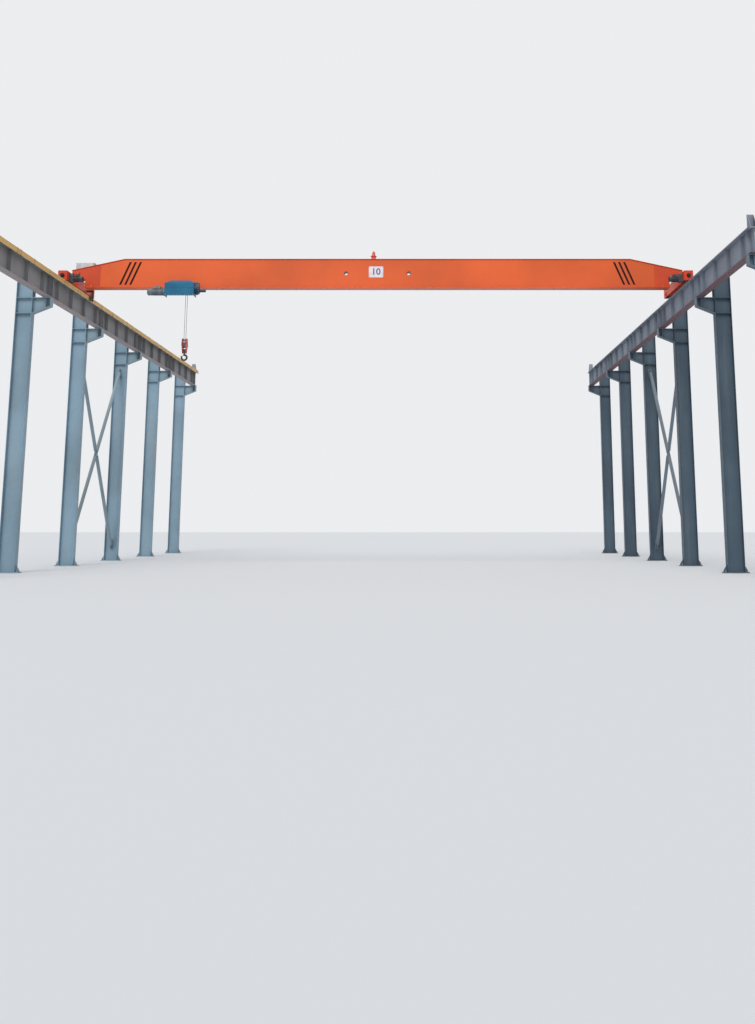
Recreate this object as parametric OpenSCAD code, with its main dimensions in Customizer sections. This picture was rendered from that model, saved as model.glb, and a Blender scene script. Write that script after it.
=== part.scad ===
/* [Runway] */
// Distance between the two crane rails, centre to centre
span = 22500; // [18000:500:26000]
// Distance between neighbouring columns along the runway
bay = 6000; // [5000:250:7000]
// Number of bays along the runway
bays = 5; // [3:1:5]
// Bay that holds the pipe bracing, counted from the near end
braced_bay = 3; // [1:1:3]
// Height of the rail's top above the floor
rail_top = 10160; // [8000:80:12000]
// How far the beams reach past the end columns
overhang = 280; // [200:20:400]

/* [Columns] */
// Distance from the rail's centre out to the column's centre
column_offset = 750; // [700:10:900]
// Depth of the H section, across the aisle
column_depth = 560; // [400:20:640]
// Width of the H section's flanges, along the runway
column_width = 300; // [240:10:360]
// Thickness of the column's flanges
column_flange_t = 16; // [12:1:25]
// Thickness of the column's web
column_web_t = 10; // [8:1:16]
// Height of the column's top above the rail's top
column_rise = 300; // [200:20:500]
// Thickness of the plate on the column's top
cap_t = 20; // [12:1:30]
// Thickness of the column's base plate
base_t = 30; // [20:2:50]
// Distance between anchor bolts across the aisle
anchor_x = 700; // [660:10:800]
// Distance between anchor bolts along the runway
anchor_y = 180; // [120:10:220]
// Diameter of an anchor bolt hole
anchor_hole_d = 34; // [24:1:40]
// Distance from an anchor bolt to the base plate's edge
anchor_edge = 70; // [50:5:90]

/* [Corbels] */
// How far a corbel reaches from the column's flange
corbel_reach = 630; // [560:10:700]
// Depth of the corbel at the column
corbel_root = 560; // [420:20:640]
// Depth of the corbel at its tip
corbel_tip = 300; // [200:10:360]
// Width of the corbel's flanges, along the runway
corbel_width = 280; // [200:10:300]
// Thickness of the corbel's plates
corbel_t = 16; // [10:1:20]
// Thickness of the bearing plate between corbel and beam
bearing_t = 20; // [10:2:30]

/* [Runway beams] */
// Depth of the runway beam
beam_depth = 750; // [600:25:900]
// Width of the beam's top flange
beam_top_w = 350; // [300:10:400]
// Width of the beam's bottom flange
beam_bottom_w = 280; // [240:10:320]
// Thickness of the beam's flanges
beam_flange_t = 16; // [12:1:22]
// Thickness of the beam's web
beam_web_t = 10; // [8:1:14]
// Gap between two beams that meet on a corbel
beam_gap = 20; // [10:2:40]
// Number of stiffener pairs between two columns
stiffeners = 4; // [3:1:6]
// Thickness of a stiffener
stiffener_t = 8; // [6:1:12]
// Distance from a beam's end to its bearing stiffener
bearing_inset = 90; // [60:10:120]
// Width of the plate that ties the beam's top to the column
tie_w = 200; // [120:10:260]
// Thickness of the tie plate
tie_t = 12; // [8:1:16]

/* [Rails] */
// Height of the rail
rail_h = 140; // [120:5:150]
// Width of the rail's head
rail_head_w = 70; // [60:2:80]
// Depth of the rail's head
rail_head_h = 42; // [36:1:48]
// Width of the rail's foot
rail_foot_w = 114; // [100:2:130]
// Thickness of the rail's foot at its edge
rail_foot_h = 12; // [10:1:16]
// Thickness of the rail's web
rail_web_t = 15; // [12:1:18]
// Length of a stop's base plate, at the runway's end
stop_length = 330; // [260:10:420]
// Height of a stop above the beam
stop_height = 460; // [400:10:560]
// Width of a stop
stop_width = 200; // [180:10:300]
// Thickness of a stop's plates
stop_t = 20; // [12:1:30]

/* [Bracing] */
// Outside diameter of a bracing pipe
brace_d = 140; // [100:5:180]
// Wall of a bracing pipe
brace_wall = 6; // [4:1:10]
// Height of the bracing's lower corner above the floor
brace_low = 500; // [300:50:800]
// Thickness of the bracing's gusset plates
gusset_t = 14; // [10:1:20]
// Length of a gusset along a pipe
gusset_len = 420; // [320:10:520]

/* [Conductor bars] */
// Number of conductor bars
poles = 3; // [2:1:4]
// Distance between two bars
pole_pitch = 58; // [50:1:70]
// Height of one bar
pole_h = 46; // [36:1:48]
// Depth of one bar
pole_d = 24; // [18:1:30]
// Wall of one bar
pole_wall = 4; // [3:1:5]
// Distance from the beam's top flange to the bar's back
pole_gap = 90; // [60:5:120]
// Number of brackets in a bay
brackets = 4; // [2:1:6]
// Width of a bracket
bracket_w = 50; // [40:2:80]

/* [Girder] */
// Depth of the girder at mid span
girder_depth = 1100; // [900:20:1300]
// Height of the girder's underside above the rail's top
girder_lift = 80; // [60:10:160]
// Distance between the outer faces of the two webs
girder_width = 320; // [280:10:400]
// Thickness of a web
web_t = 8; // [6:1:12]
// Width of the bottom flange, which the hoist runs on
bottom_flange_w = 520; // [500:10:600]
// Thickness of the bottom flange
bottom_flange_t = 20; // [16:1:26]
// Width of the top flange
top_flange_w = 400; // [360:10:460]
// Thickness of the top flange
top_flange_t = 12; // [10:1:16]
// Length of the sloping end of the girder's top, up to the rail's centre
taper_len = 1800; // [1200:50:2400]
// Drop of the girder's top at the rail's centre
taper_drop = 400; // [250:10:450]
// Distance from the rail's centre to the end of the girder's bottom
girder_setback = 350; // [300:10:450]
// Distance from the rail's centre to the end of the girder's nose
nose_reach = 150; // [100:5:160]
// Distance from the girder's middle to a lifting hole
lifting_x = 1170; // [800:10:2000]
// Outside diameter of a lifting pipe
lifting_d = 160; // [100:5:200]
// Width of the web plates that a lifting pipe is let into
lifting_plate_w = 500; // [300:20:800]
// Place of the alarm beacon from the girder's middle
beacon_x = -150; // [-1000:50:1000]
// Diameter of the alarm beacon
beacon_d = 240; // [160:10:300]

/* [End trucks] */
// Length of an end truck
truck_len = 3300; // [2900:50:4400]
// Width of an end truck
truck_w = 320; // [280:10:340]
// Height of an end truck
truck_h = 350; // [320:10:420]
// Height of the truck's underside above the rail's top
truck_lift = 40; // [30:5:60]
// Thickness of the truck's plates
truck_t = 12; // [8:1:16]
// Distance between the wheel axles
wheelbase = 2600; // [2200:50:3600]
// Diameter of a wheel's tread
wheel_d = 300; // [250:10:320]
// Width of a wheel's tread
tread_w = 84; // [80:2:100]
// Thickness of a wheel's flange
wheel_flange_w = 20; // [14:1:24]
// Height of a wheel's flange over its tread
wheel_flange_h = 20; // [15:1:25]
// Diameter of a wheel axle
axle_d = 80; // [60:2:100]
// Length of the wheel pocket in the truck's end
pocket_len = 440; // [400:10:520]
// Length of a buffer
buffer_len = 120; // [80:10:160]
// Diameter of a buffer
buffer_d = 120; // [80:10:160]
// Diameter of a travel motor
drive_d = 220; // [180:10:260]
// Length of a travel motor
drive_len = 340; // [260:10:400]
// Size of the seat plate between truck and girder, along the runway
seat_len = 900; // [600:20:1200]
// Thickness of the seat plate
seat_t = 12; // [10:1:20]

/* [Electric cabinet] */
// Width of the cabinet behind the girder's left end
panel_w = 660; // [500:20:800]
// Depth of the cabinet, along the runway
panel_d = 300; // [200:10:400]
// Height of the cabinet
panel_h = 430; // [300:10:500]
// Distance from the left rail's centre out to the cabinet's outer side
panel_out = 130; // [0:10:200]
// How far the cabinet's roof stands out
panel_roof = 25; // [10:5:50]

/* [Hoist] */
// Place of the hoist along the girder, from its middle
hoist_x = -7225; // [-7400:25:7000]
// Distance from the girder's middle to the rope drum's axis
drum_y = 620; // [600:5:680]
// Depth of the drum's axis under the girder's underside
drum_sink = 160; // [100:10:200]
// Diameter of the drum at the rope's centre
drum_pitch_d = 300; // [260:10:320]
// Length of the drum between its flanges
drum_len = 1000; // [900:10:1100]
// Diameter of the hoist rope
rope_d = 15; // [12:1:16]
// Distance between two rope grooves
groove_pitch = 18; // [17:1:20]
// Radius of the drum's flanges over the rope's centre
drum_flange_rise = 30; // [24:1:36]
// Thickness of the hoist frame's plates
frame_t = 15; // [10:1:20]
// Diameter of the hoist motor
motor_d = 270; // [200:10:300]
// Length of the hoist motor
motor_len = 600; // [480:10:700]
// Depth of the motor's axis under the drum's axis
motor_sink = 100; // [0:10:120]
// Diameter of a trolley wheel
trolley_wheel_d = 140; // [120:5:160]
// Distance between the trolley's axles
trolley_base = 620; // [560:10:700]
// Diameter of the bars that join the trolley's two sides
crossbar_d = 76; // [50:2:90]

/* [Hook block] */
// Height of the hook block's sheave axle below the girder's underside
hook_drop = 2140; // [900:20:6000]
// Diameter of the sheave at the rope's centre
sheave_pitch_d = 300; // [260:10:340]
// Thickness of the block's cheeks
cheek_t = 16; // [12:1:20]
// Diameter of the hook's shank
shank_d = 60; // [50:2:70]
// Inner radius of the hook's bowl
bowl_r = 60; // [50:2:80]
// Thickness of the hook at its bowl
hook_t = 70; // [56:2:80]

/* [Hidden] */

// Colours as the paint shows
paint_column = [0.36, 0.48, 0.54];
paint_beam = [0.40, 0.43, 0.46];
paint_girder = [0.89, 0.41, 0.22];
paint_hoist = [0.15, 0.43, 0.58];
paint_bar = [0.86, 0.72, 0.30];
bare_steel = [0.55, 0.55, 0.57];
dark_steel = [0.22, 0.23, 0.25];
black_rubber = [0.08, 0.08, 0.08];
block_red = [0.80, 0.20, 0.12];
paint_panel = [0.78, 0.79, 0.78];
beacon_red = [0.85, 0.12, 0.08];

// Running clearances
shaft_clear = 0.1;
seat_clear = 0.3;
round_fn = 48;

// Levels of the runway, from the rail's top down
rail_x = span / 2;
column_x = rail_x + column_offset;
column_face = column_x - column_depth / 2;
beam_top = rail_top - rail_h;
beam_bottom = beam_top - beam_depth;
corbel_top = beam_bottom - bearing_t;
column_top = rail_top + column_rise;
half_run = bays * bay / 2;
run_end = half_run + overhang;
rail_end = run_end - stop_length;
crane_y = -half_run + 1.5 * bay;

pole_back = rail_x - beam_top_w / 2 - pole_gap;
pole_z = beam_top - 20;

// Levels of the bridge
axle_z = rail_top + wheel_d / 2 + seat_clear;
truck_z0 = rail_top + truck_lift;
truck_z1 = truck_z0 + truck_h;
buffer_z = truck_z0 + truck_h / 2;
girder_z0 = rail_top + girder_lift;
girder_z1 = girder_z0 + girder_depth;
nose_z = truck_z1 + seat_t;
girder_end = rail_x - girder_setback;
nose_end = rail_x + nose_reach;
taper_start = rail_x - taper_len;
taper_slope = taper_drop / taper_len;
seat_rib_h = 260;
panel_z = nose_z + seat_rib_h + 28;
panel_y = top_flange_w / 2 + 5;

// Places on the hoist
trolley_axle_z = girder_z0 + bottom_flange_t + trolley_wheel_d / 2 + seat_clear;
side_in = bottom_flange_w / 2 + 30;
side_out = side_in + frame_t;
crossbar_z = girder_z0 - crossbar_d / 2 - 22;
crossbar_x = trolley_base / 2 + 20;
drum_z = girder_z0 - drum_sink;
drum_r = drum_pitch_d / 2;
rope_r = rope_d / 2;
drum_flange_r = drum_r + drum_flange_rise;
drum_half = drum_len / 2;
frame_in = drum_half + 5;
frame_out = frame_in + frame_t;
frame_back = drum_y - drum_flange_r - 15;
gear_w = 140;
gear_rise = 160;
gear_top_r = 100;
motor_z = drum_z - motor_sink;
grooves = floor((drum_len - 80) / groove_pitch / 2) * 2;
fall_groove = floor(grooves / 2) + 9;
fall_x = hoist_x + (fall_groove - (grooves - 1) / 2) * groove_pitch;

journal_d = 90;
motor_seat_d = 170;
gear_seat_d = 220;
cover_rise = 310;
cover_drop = 280;
cover_slant = 130;
cover_t = 6;
cover_out = frame_out + 20;
boss_t = 22;
trolley_pin_d = 40;

// Places on the hook block
sheave_r = sheave_pitch_d / 2;
sheave_y = drum_y - drum_r - sheave_r;
sheave_z = girder_z0 - hook_drop;
sheave_w = 56;
cheek_gap = 124;
cross_z = sheave_z - sheave_r - 150;
cross_h = 90;
bowl_z = cross_z - cross_h / 2 - 110 - bowl_r;
anchor_y_in = sheave_y - sheave_r;
socket_z = crossbar_z - crossbar_d / 2 - 130;
block_pin_d = 60;
trunnion_d = 50;

// A profile in X and Z drawn along the runway from y0 to y1
module along_y(y0, y1) {
    translate([0, y1, 0]) rotate([90, 0, 0]) linear_extrude(y1 - y0) children();
}

// A profile in Y and Z drawn along the girder from x0 to x1
module along_x(x0, x1) {
    translate([x0, 0, 0]) rotate([90, 0, 90]) linear_extrude(x1 - x0) children();
}

// Puts a piece of the right side on the left side
module on_left() {
    mirror([1, 0, 0]) children();
}

// A round bar along X, Y or Z
module bar_x(x0, x1, d) {
    translate([x0, 0, 0]) rotate([0, 90, 0]) cylinder(d = d, h = x1 - x0, $fn = round_fn);
}

module bar_y(y0, y1, d) {
    translate([0, y1, 0]) rotate([90, 0, 0]) cylinder(d = d, h = y1 - y0, $fn = round_fn);
}

// A block given by its two corners
module block(a, b) {
    translate(a) cube(b - a);
}

// Place of a column line along the runway
function line_y(i) = -half_run + i * bay;

// Height of the underside of the girder's top flange
function web_top(x) = girder_z1 - top_flange_t - max(0, x - taper_start) * taper_slope;

// Right half of an outline followed by its mirror image
function both_halves(half) =
    concat(half, [for (i = [len(half) - 1:-1:0]) [-half[i][0], half[i][1]]]);

// A column with its base plate, ribs, cap and plates in line with the corbel
module column(y) {
    base_x = anchor_x / 2 + anchor_edge;
    base_y = anchor_y / 2 + anchor_edge;
    rib_h = 260;
    rib_t = 12;
    inner = column_depth / 2 - column_flange_t;
    translate([column_x, y, 0]) {
        difference() {
            block([-base_x, -base_y, 0], [base_x, base_y, base_t]);
            for (sx = [-1, 1], sy = [-1, 1])
                translate([sx * anchor_x / 2, sy * anchor_y / 2, -1])
                    cylinder(d = anchor_hole_d, h = base_t + 2, $fn = 32);
        }
        translate([0, 0, base_t]) linear_extrude(column_top - cap_t - base_t) {
            square([column_depth - column_flange_t, column_web_t], center = true);
            for (s = [-1, 1])
                translate([s * (column_depth - column_flange_t) / 2, 0])
                    square([column_flange_t, column_width], center = true);
        }
        for (s = [-1, 1])
            translate([0, rib_t / 2, base_t]) rotate([90, 0, 0])
                linear_extrude(rib_t)
                    polygon([
                        [s * column_depth / 2, 0],
                        [s * (base_x - 10), 0],
                        [s * (base_x - 10), 40],
                        [s * column_depth / 2, rib_h]
                    ]);
        translate([0, 0, column_top - cap_t / 2])
            cube([column_depth + 40, column_width + 40, cap_t], center = true);
        for (z = [corbel_top - corbel_t, corbel_top - corbel_root], s = [0, 1])
            mirror([0, s, 0])
                block([-inner, column_web_t / 2, z], [inner, column_width / 2 - 10, z + corbel_t]);
    }
}

// Plate from the column to the beam's top flange, with a rib under it
module tie_plate(y) {
    rib_h = 160;
    block([rail_x + stop_width / 2 + 10, y - tie_w / 2, beam_top],
        [column_face, y + tie_w / 2, beam_top + tie_t]);
    block([rail_x + beam_top_w / 2, y - tie_t / 2, beam_top - rib_h],
        [column_face, y + tie_t / 2, beam_top]);
}

module columns() {
    for (i = [0:bays]) column(line_y(i));
}

// A welded bracket with a sloping bottom flange, and the bearing plate on it
module corbel(y) {
    tip_x = column_face - corbel_reach;
    drop = corbel_root - corbel_tip;
    t = corbel_t;
    translate([0, y, 0]) {
        along_y(-t / 2, t / 2) polygon([
            [column_face, corbel_top],
            [tip_x, corbel_top],
            [tip_x, corbel_top - corbel_tip],
            [column_face, corbel_top - corbel_root]
        ]);
        block([tip_x, -corbel_width / 2, corbel_top - t], [column_face, corbel_width / 2, corbel_top]);
        along_y(-corbel_width / 2, corbel_width / 2) polygon([
            [tip_x, corbel_top - corbel_tip],
            [column_face, corbel_top - corbel_root],
            [column_face, corbel_top - corbel_root + t],
            [tip_x, corbel_top - corbel_tip + t]
        ]);
        block([tip_x, -corbel_width / 2, corbel_top - corbel_tip],
            [tip_x + t, corbel_width / 2, corbel_top]);
        for (s = [0, 1])
            mirror([0, s, 0])
                block([rail_x - t / 2, 0, corbel_top - corbel_tip - drop * (rail_x - tip_x) / corbel_reach],
                    [rail_x + t / 2, corbel_width / 2 - 10, corbel_top]);
        block([rail_x - beam_bottom_w / 2 + 15, -corbel_width / 2, corbel_top],
            [rail_x + beam_bottom_w / 2 - 15, corbel_width / 2, beam_bottom]);
    }
}

module corbels() {
    for (i = [0:bays]) {
        corbel(line_y(i));
        tie_plate(line_y(i));
    }
}

// One welded beam from column to column, with its stiffeners
module runway_beam(i) {
    y0 = line_y(i) + (i == 0 ? -overhang : beam_gap / 2);
    y1 = line_y(i + 1) + (i == bays - 1 ? overhang : -beam_gap / 2);
    stiff_w = beam_bottom_w - 20;
    stiff_h = beam_depth - 2 * beam_flange_t;
    steps = [for (k = [0:stiffeners - 1]) line_y(i) + (k + 0.5) * bay / stiffeners];
    ends = [line_y(i) + bearing_inset, line_y(i + 1) - bearing_inset];
    translate([rail_x, 0, beam_bottom]) {
        along_y(y0, y1) {
            translate([-beam_bottom_w / 2, 0]) square([beam_bottom_w, beam_flange_t]);
            translate([-beam_web_t / 2, 0]) square([beam_web_t, beam_depth]);
            translate([-beam_top_w / 2, beam_depth - beam_flange_t]) square([beam_top_w, beam_flange_t]);
        }
        for (y = concat(steps, ends))
            translate([-stiff_w / 2, y - stiffener_t / 2, beam_flange_t]) cube([stiff_w, stiffener_t, stiff_h]);
    }
}

module beams() {
    for (i = [0:bays - 1]) runway_beam(i);
}

// Section of the crane rail, foot on the beam
module rail_profile() {
    corner = 8;
    flare = 14;
    foot = rail_foot_w / 2;
    web = rail_web_t / 2;
    head = rail_head_w / 2;
    under = rail_h - rail_head_h;
    polygon([
        [-foot, 0], [foot, 0], [foot, rail_foot_h], [web + flare, rail_foot_h + flare / 2],
        [web, rail_foot_h + 2 * flare], [web, under - flare], [head, under],
        [-head, under], [-web, under - flare], [-web, rail_foot_h + 2 * flare],
        [-web - flare, rail_foot_h + flare / 2], [-foot, rail_foot_h]
    ]);
    translate([-head, under]) square([rail_head_w, rail_head_h - corner]);
    translate([-head + corner, under]) square([rail_head_w - 2 * corner, rail_head_h]);
    for (s = [-1, 1])
        translate([s * (head - corner), rail_h - corner]) circle(r = corner, $fn = 32);
}

module rail() {
    translate([rail_x, 0, beam_top]) along_y(-rail_end, rail_end) rail_profile();
}

// A stop at the runway's far end: base, upright plate and two raking ribs
module end_stop() {
    half_w = stop_width / 2;
    translate([rail_x, rail_end, beam_top]) {
        block([-half_w, 0, 0], [half_w, stop_length - 20, stop_t]);
        block([-half_w, 0, 0], [half_w, stop_t, stop_height]);
        for (x = [-half_w, half_w - stop_t])
            along_x(x, x + stop_t)
                polygon([[0, 0], [stop_length - 20, 0], [stop_length - 20, 60], [stop_t, stop_height]]);
    }
}

module end_stop_pairs() {
    for (sx = [0, 1], sy = [0, 1])
        mirror([sx, 0, 0]) mirror([0, sy, 0]) end_stop();
}

// Crossed pipes between the two columns of the braced bay
module bracing() {
    high = corbel_top - corbel_root - 200;
    low = brace_low;
    y0 = line_y(braced_bay - 1) + column_web_t / 2;
    y1 = line_y(braced_bay) - column_web_t / 2;
    rise = high - low;
    run = y1 - y0;
    slant = sqrt(rise * rise + run * run);
    lean = atan2(run, rise);
    mid = [column_x, (y0 + y1) / 2, (low + high) / 2];
    full = slant / 2 - gusset_len * 0.6;
    for (s = [0, 1])
        translate(mid) mirror([0, s, 0]) rotate([-lean, 0, 0]) {
            brace_pipe(s == 0 ? -full : brace_d, full);
            if (s == 1) brace_pipe(-full, -brace_d);
        }
    translate(mid) rotate([0, 90, 0]) cylinder(r = brace_d * 1.6, h = gusset_t, center = true, $fn = round_fn);
    for (sy = [0, 1], sz = [0, 1])
        translate(mid) mirror([0, sy, 0]) mirror([0, 0, sz]) {
            along_x(-gusset_t / 2, gusset_t / 2)
                polygon([
                    [run / 2, rise / 2],
                    [run / 2, rise / 2 - gusset_len],
                    [run / 2 - gusset_len * 0.35, rise / 2 - gusset_len],
                    [run / 2 - gusset_len * 0.6, rise / 2 - gusset_len * 0.6],
                    [run / 2 - gusset_len * 0.5, rise / 2]
                ]);
            block([-brace_d / 2, run / 2 - gusset_t, rise / 2 - gusset_len], [brace_d / 2, run / 2, rise / 2]);
        }
}

// A pipe along Z from z0 to z1
module brace_pipe(z0, z1) {
    translate([0, 0, z0]) difference() {
        cylinder(d = brace_d, h = z1 - z0, $fn = round_fn);
        translate([0, 0, -1]) cylinder(d = brace_d - 2 * brace_wall, h = z1 - z0 + 2, $fn = round_fn);
    }
}

// Insulated bars with an open mouth towards the aisle, one above the other
module conductor_bar_set() {
    for (k = [0:poles - 1])
        translate([0, 0, pole_z + (k - (poles - 1) / 2) * pole_pitch])
            along_y(-rail_end, rail_end) difference() {
                translate([pole_back - pole_d, -pole_h / 2]) square([pole_d, pole_h]);
                translate([pole_back - pole_d + pole_wall, -pole_h / 2 + pole_wall])
                    square([pole_d - 2 * pole_wall, pole_h - 2 * pole_wall]);
                translate([pole_back - pole_d - 1, -pole_h / 4]) square([pole_wall + 2, pole_h / 2]);
            }
}

module conductor_bracket_set() {
    reach = pole_back + 8;
    stem = poles * pole_pitch / 2 + 10;
    under = beam_top - beam_flange_t;
    for (i = [0:bays - 1], k = [0:brackets - 1]) {
        y = line_y(i) + (k + 0.5) * bay / brackets + 60;
        block([reach, y - bracket_w / 2, under - 8], [rail_x - beam_top_w / 2 + 60, y + bracket_w / 2, under]);
        block([pole_back, y - bracket_w / 2, pole_z - stem], [reach, y + bracket_w / 2, pole_z + stem]);
    }
}

// Outline of a girder web, right half
function web_half() = [
    [girder_end, girder_z0 + bottom_flange_t],
    [girder_end, nose_z],
    [nose_end, nose_z],
    [nose_end, web_top(nose_end)],
    [taper_start, web_top(taper_start)]
];

// A web in three plates, with room between them for the plates round the lifting pipes
module girder_web(y0, y1) {
    along_y(crane_y + y0, crane_y + y1) difference() {
        polygon(both_halves(web_half()));
        for (s = [-1, 1])
            translate([s * lifting_x - lifting_plate_w / 2, girder_z0])
                square([lifting_plate_w, girder_depth]);
    }
}

module girder_top() {
    half = [
        [taper_start, web_top(taper_start)],
        [nose_end, web_top(nose_end)],
        [nose_end, web_top(nose_end) + top_flange_t],
        [taper_start, girder_z1]
    ];
    along_y(crane_y - top_flange_w / 2, crane_y + top_flange_w / 2)
        polygon(concat(
            [half[3], half[2], half[1], half[0]],
            [for (p = half) [-p[0], p[1]]]
        ));
}

// Bottom flange, with a stop block for the trolley at each corner
module girder_bottom() {
    block([-girder_end, crane_y - bottom_flange_w / 2, girder_z0],
        [girder_end, crane_y + bottom_flange_w / 2, girder_z0 + bottom_flange_t]);
    for (sx = [0, 1], sy = [-1, 1])
        mirror([sx, 0, 0])
            translate([girder_end - 260, crane_y, girder_z0 + bottom_flange_t + 40])
                translate([0, sy * (girder_width + bottom_flange_w) / 4, 0])
                    cube([60, 60, 80], center = true);
}

// Plates that close the girder's stepped end
module end_plate() {
    t = 10;
    inner = girder_width / 2 - web_t;
    along_y(crane_y - inner, crane_y + inner) polygon([
        [girder_end - t, girder_z0 + bottom_flange_t],
        [girder_end, girder_z0 + bottom_flange_t],
        [girder_end, nose_z],
        [nose_end, nose_z],
        [nose_end, web_top(nose_end)],
        [nose_end - t, web_top(nose_end - t)],
        [nose_end - t, nose_z + t],
        [girder_end - t, nose_z + t]
    ]);
}

// A pipe through the girder, and the two web plates that it is let into
module lifting_pipe(x) {
    low = girder_z0 + bottom_flange_t;
    mid_z = (girder_z0 + girder_z1) / 2;
    translate([x, crane_y, 0]) {
        translate([0, 0, mid_z]) difference() {
            bar_y(-girder_width / 2 - 4, girder_width / 2 + 4, lifting_d);
            bar_y(-girder_width / 2 - 5, girder_width / 2 + 5, lifting_d - 16);
        }
        for (s = [0, 1])
            mirror([0, s, 0]) along_y(girder_width / 2 - web_t, girder_width / 2) difference() {
                translate([-lifting_plate_w / 2, low])
                    square([lifting_plate_w, girder_z1 - top_flange_t - low]);
                translate([0, mid_z]) circle(d = lifting_d + 2 * seat_clear, $fn = round_fn);
            }
    }
}

// An end truck: two webs, top and bottom plates, diaphragms and bearing bosses
module truck() {
    half_w = truck_w / 2;
    half_l = truck_len / 2;
    pocket = pocket_len / 2;
    wheel_y = wheelbase / 2;
    boss_d = axle_d + 90;
    translate([rail_x, crane_y, 0]) difference() {
        union() {
            for (s = [0, 1])
                mirror([s, 0, 0])
                    block([half_w - truck_t, -half_l, truck_z0], [half_w, half_l, truck_z1]);
            block([-half_w, -half_l, truck_z1 - truck_t], [half_w, half_l, truck_z1]);
            block([-half_w, -wheel_y + pocket, truck_z0], [half_w, wheel_y - pocket, truck_z0 + truck_t]);
            for (s = [0, 1])
                mirror([0, s, 0]) {
                    block([-half_w, wheel_y + pocket, truck_z0], [half_w, half_l, truck_z0 + truck_t]);
                    block([-half_w, half_l - truck_t, truck_z0], [half_w, half_l, truck_z1]);
                    block([-half_w, wheel_y - pocket, truck_z0], [half_w, wheel_y - pocket + truck_t, truck_z1]);
                    translate([0, wheel_y, axle_z]) for (m = [0, 1])
                        mirror([m, 0, 0]) bar_x(half_w - truck_t, half_w + boss_t, boss_d);
                }
        }
        for (s = [-1, 1])
            translate([0, s * wheel_y, axle_z])
                bar_x(-half_w - boss_t - 1, half_w + boss_t + 1, axle_d + 2 * shaft_clear);
    }
}

// Seat plate on the truck with the ribs that stand against the girder's nose
module girder_seat() {
    rib_t = 12;
    block([rail_x - truck_w / 2, crane_y - seat_len / 2, truck_z1],
        [rail_x + truck_w / 2, crane_y + seat_len / 2, nose_z]);
    for (x = [rail_x - truck_w / 2 + 30, rail_x + nose_reach - 40 - rib_t], s = [0, 1])
        translate([0, crane_y, 0]) mirror([0, s, 0])
            along_x(x, x + rib_t) polygon([
                [girder_width / 2, nose_z],
                [seat_len / 2 - 40, nose_z],
                [seat_len / 2 - 40, nose_z + 30],
                [girder_width / 2 + 40, nose_z + seat_rib_h],
                [girder_width / 2, nose_z + seat_rib_h]
            ]);
}

// Rubber buffer on a round plate, pointing along the runway
module buffer() {
    r = buffer_d / 2;
    rotate([-90, 0, 0]) rotate_extrude($fn = round_fn)
        polygon([[0, 0], [r + 20, 0], [r + 20, 12], [r, 12], [r, buffer_len - 24], [r - 12, buffer_len - 6],
            [r - 30, buffer_len], [0, buffer_len]]);
}

module buffer_set() {
    for (sx = [-1, 1], sy = [0, 1])
        translate([sx * rail_x, crane_y, buffer_z]) mirror([0, sy, 0])
            translate([0, truck_len / 2, 0]) buffer();
}

// Bridge wheel with two flanges on its axle, turning about X
module bridge_wheel() {
    tread_r = wheel_d / 2;
    flange_r = tread_r + wheel_flange_h;
    half_t = tread_w / 2;
    half_f = half_t + wheel_flange_w;
    hub_r = axle_d * 0.85;
    web = 22;
    rim = 34;
    half_w = truck_w / 2;
    rotate([0, 90, 0]) rotate_extrude($fn = 64) polygon([
        [0, -half_w - boss_t], [axle_d / 2, -half_w - boss_t], [axle_d / 2, -half_f - 6],
        [hub_r, -half_f - 6], [hub_r, -web], [tread_r - rim, -web], [tread_r - rim, -half_f],
        [flange_r - 4, -half_f], [flange_r, -half_f + 5], [tread_r, -half_t],
        [tread_r, half_t], [flange_r, half_f - 5], [flange_r - 4, half_f],
        [tread_r - rim, half_f], [tread_r - rim, web], [hub_r, web],
        [hub_r, half_f + 6], [axle_d / 2, half_f + 6], [axle_d / 2, half_w + boss_t],
        [0, half_w + boss_t]
    ]);
}

module wheel_pair(y) {
    for (s = [-1, 1])
        translate([s * rail_x, crane_y + y, axle_z]) bridge_wheel();
}

// Gear case and motor on the truck's inner side, in line with the near wheel's axle
module travel_drive() {
    face = rail_x - truck_w / 2 - boss_t - seat_clear;
    case_t = 110;
    r = drive_d / 2;
    translate([0, crane_y - wheelbase / 2, axle_z]) {
        along_x(face - case_t, face) {
            square([drive_d, drive_d + 20], center = true);
            translate([0, drive_d / 2 + 10]) circle(d = drive_d * 0.8, $fn = round_fn);
        }
        for (s = [0, 1]) mirror([0, s, 0])
            block([face, drive_d / 2 - 18, -drive_d / 2], [rail_x - truck_w / 2, drive_d / 2, drive_d / 2]);
        translate([face - case_t, 0, 0]) rotate([0, -90, 0]) rotate_extrude($fn = round_fn) polygon([
            [0, 0], [r, 0], [r, 16], [r - 12, 16], [r - 12, drive_len * 0.72], [r - 4, drive_len * 0.72],
            [r - 4, drive_len * 0.94], [r - 16, drive_len], [0, drive_len]
        ]);
    }
}

module travel_drive_pair() {
    travel_drive();
    on_left() travel_drive();
}

// Mast on the left truck with a sliding shoe in each conductor bar
module collector_arm() {
    y = crane_y + seat_len / 2 + 250;
    inner = rail_x - truck_w / 2;
    mast_x = pole_back - pole_d - 90;
    low = pole_z - poles * pole_pitch / 2 - 30;
    shoe_h = pole_h / 2 - 8;
    block([mast_x - 40, y - 30, truck_z0 + 60], [inner, y + 30, truck_z0 + 120]);
    block([mast_x - 40, y - 30, low], [mast_x, y + 30, truck_z0 + 120]);
    for (k = [0:poles - 1]) {
        z = pole_z + (k - (poles - 1) / 2) * pole_pitch;
        block([mast_x, y - 90, z - 8], [mast_x + 60, y + 90, z + 8]);
        block([mast_x + 60, y - 90, z - shoe_h / 2], [pole_back - pole_d + pole_wall + 4, y + 90, z + shoe_h / 2]);
    }
}

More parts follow.
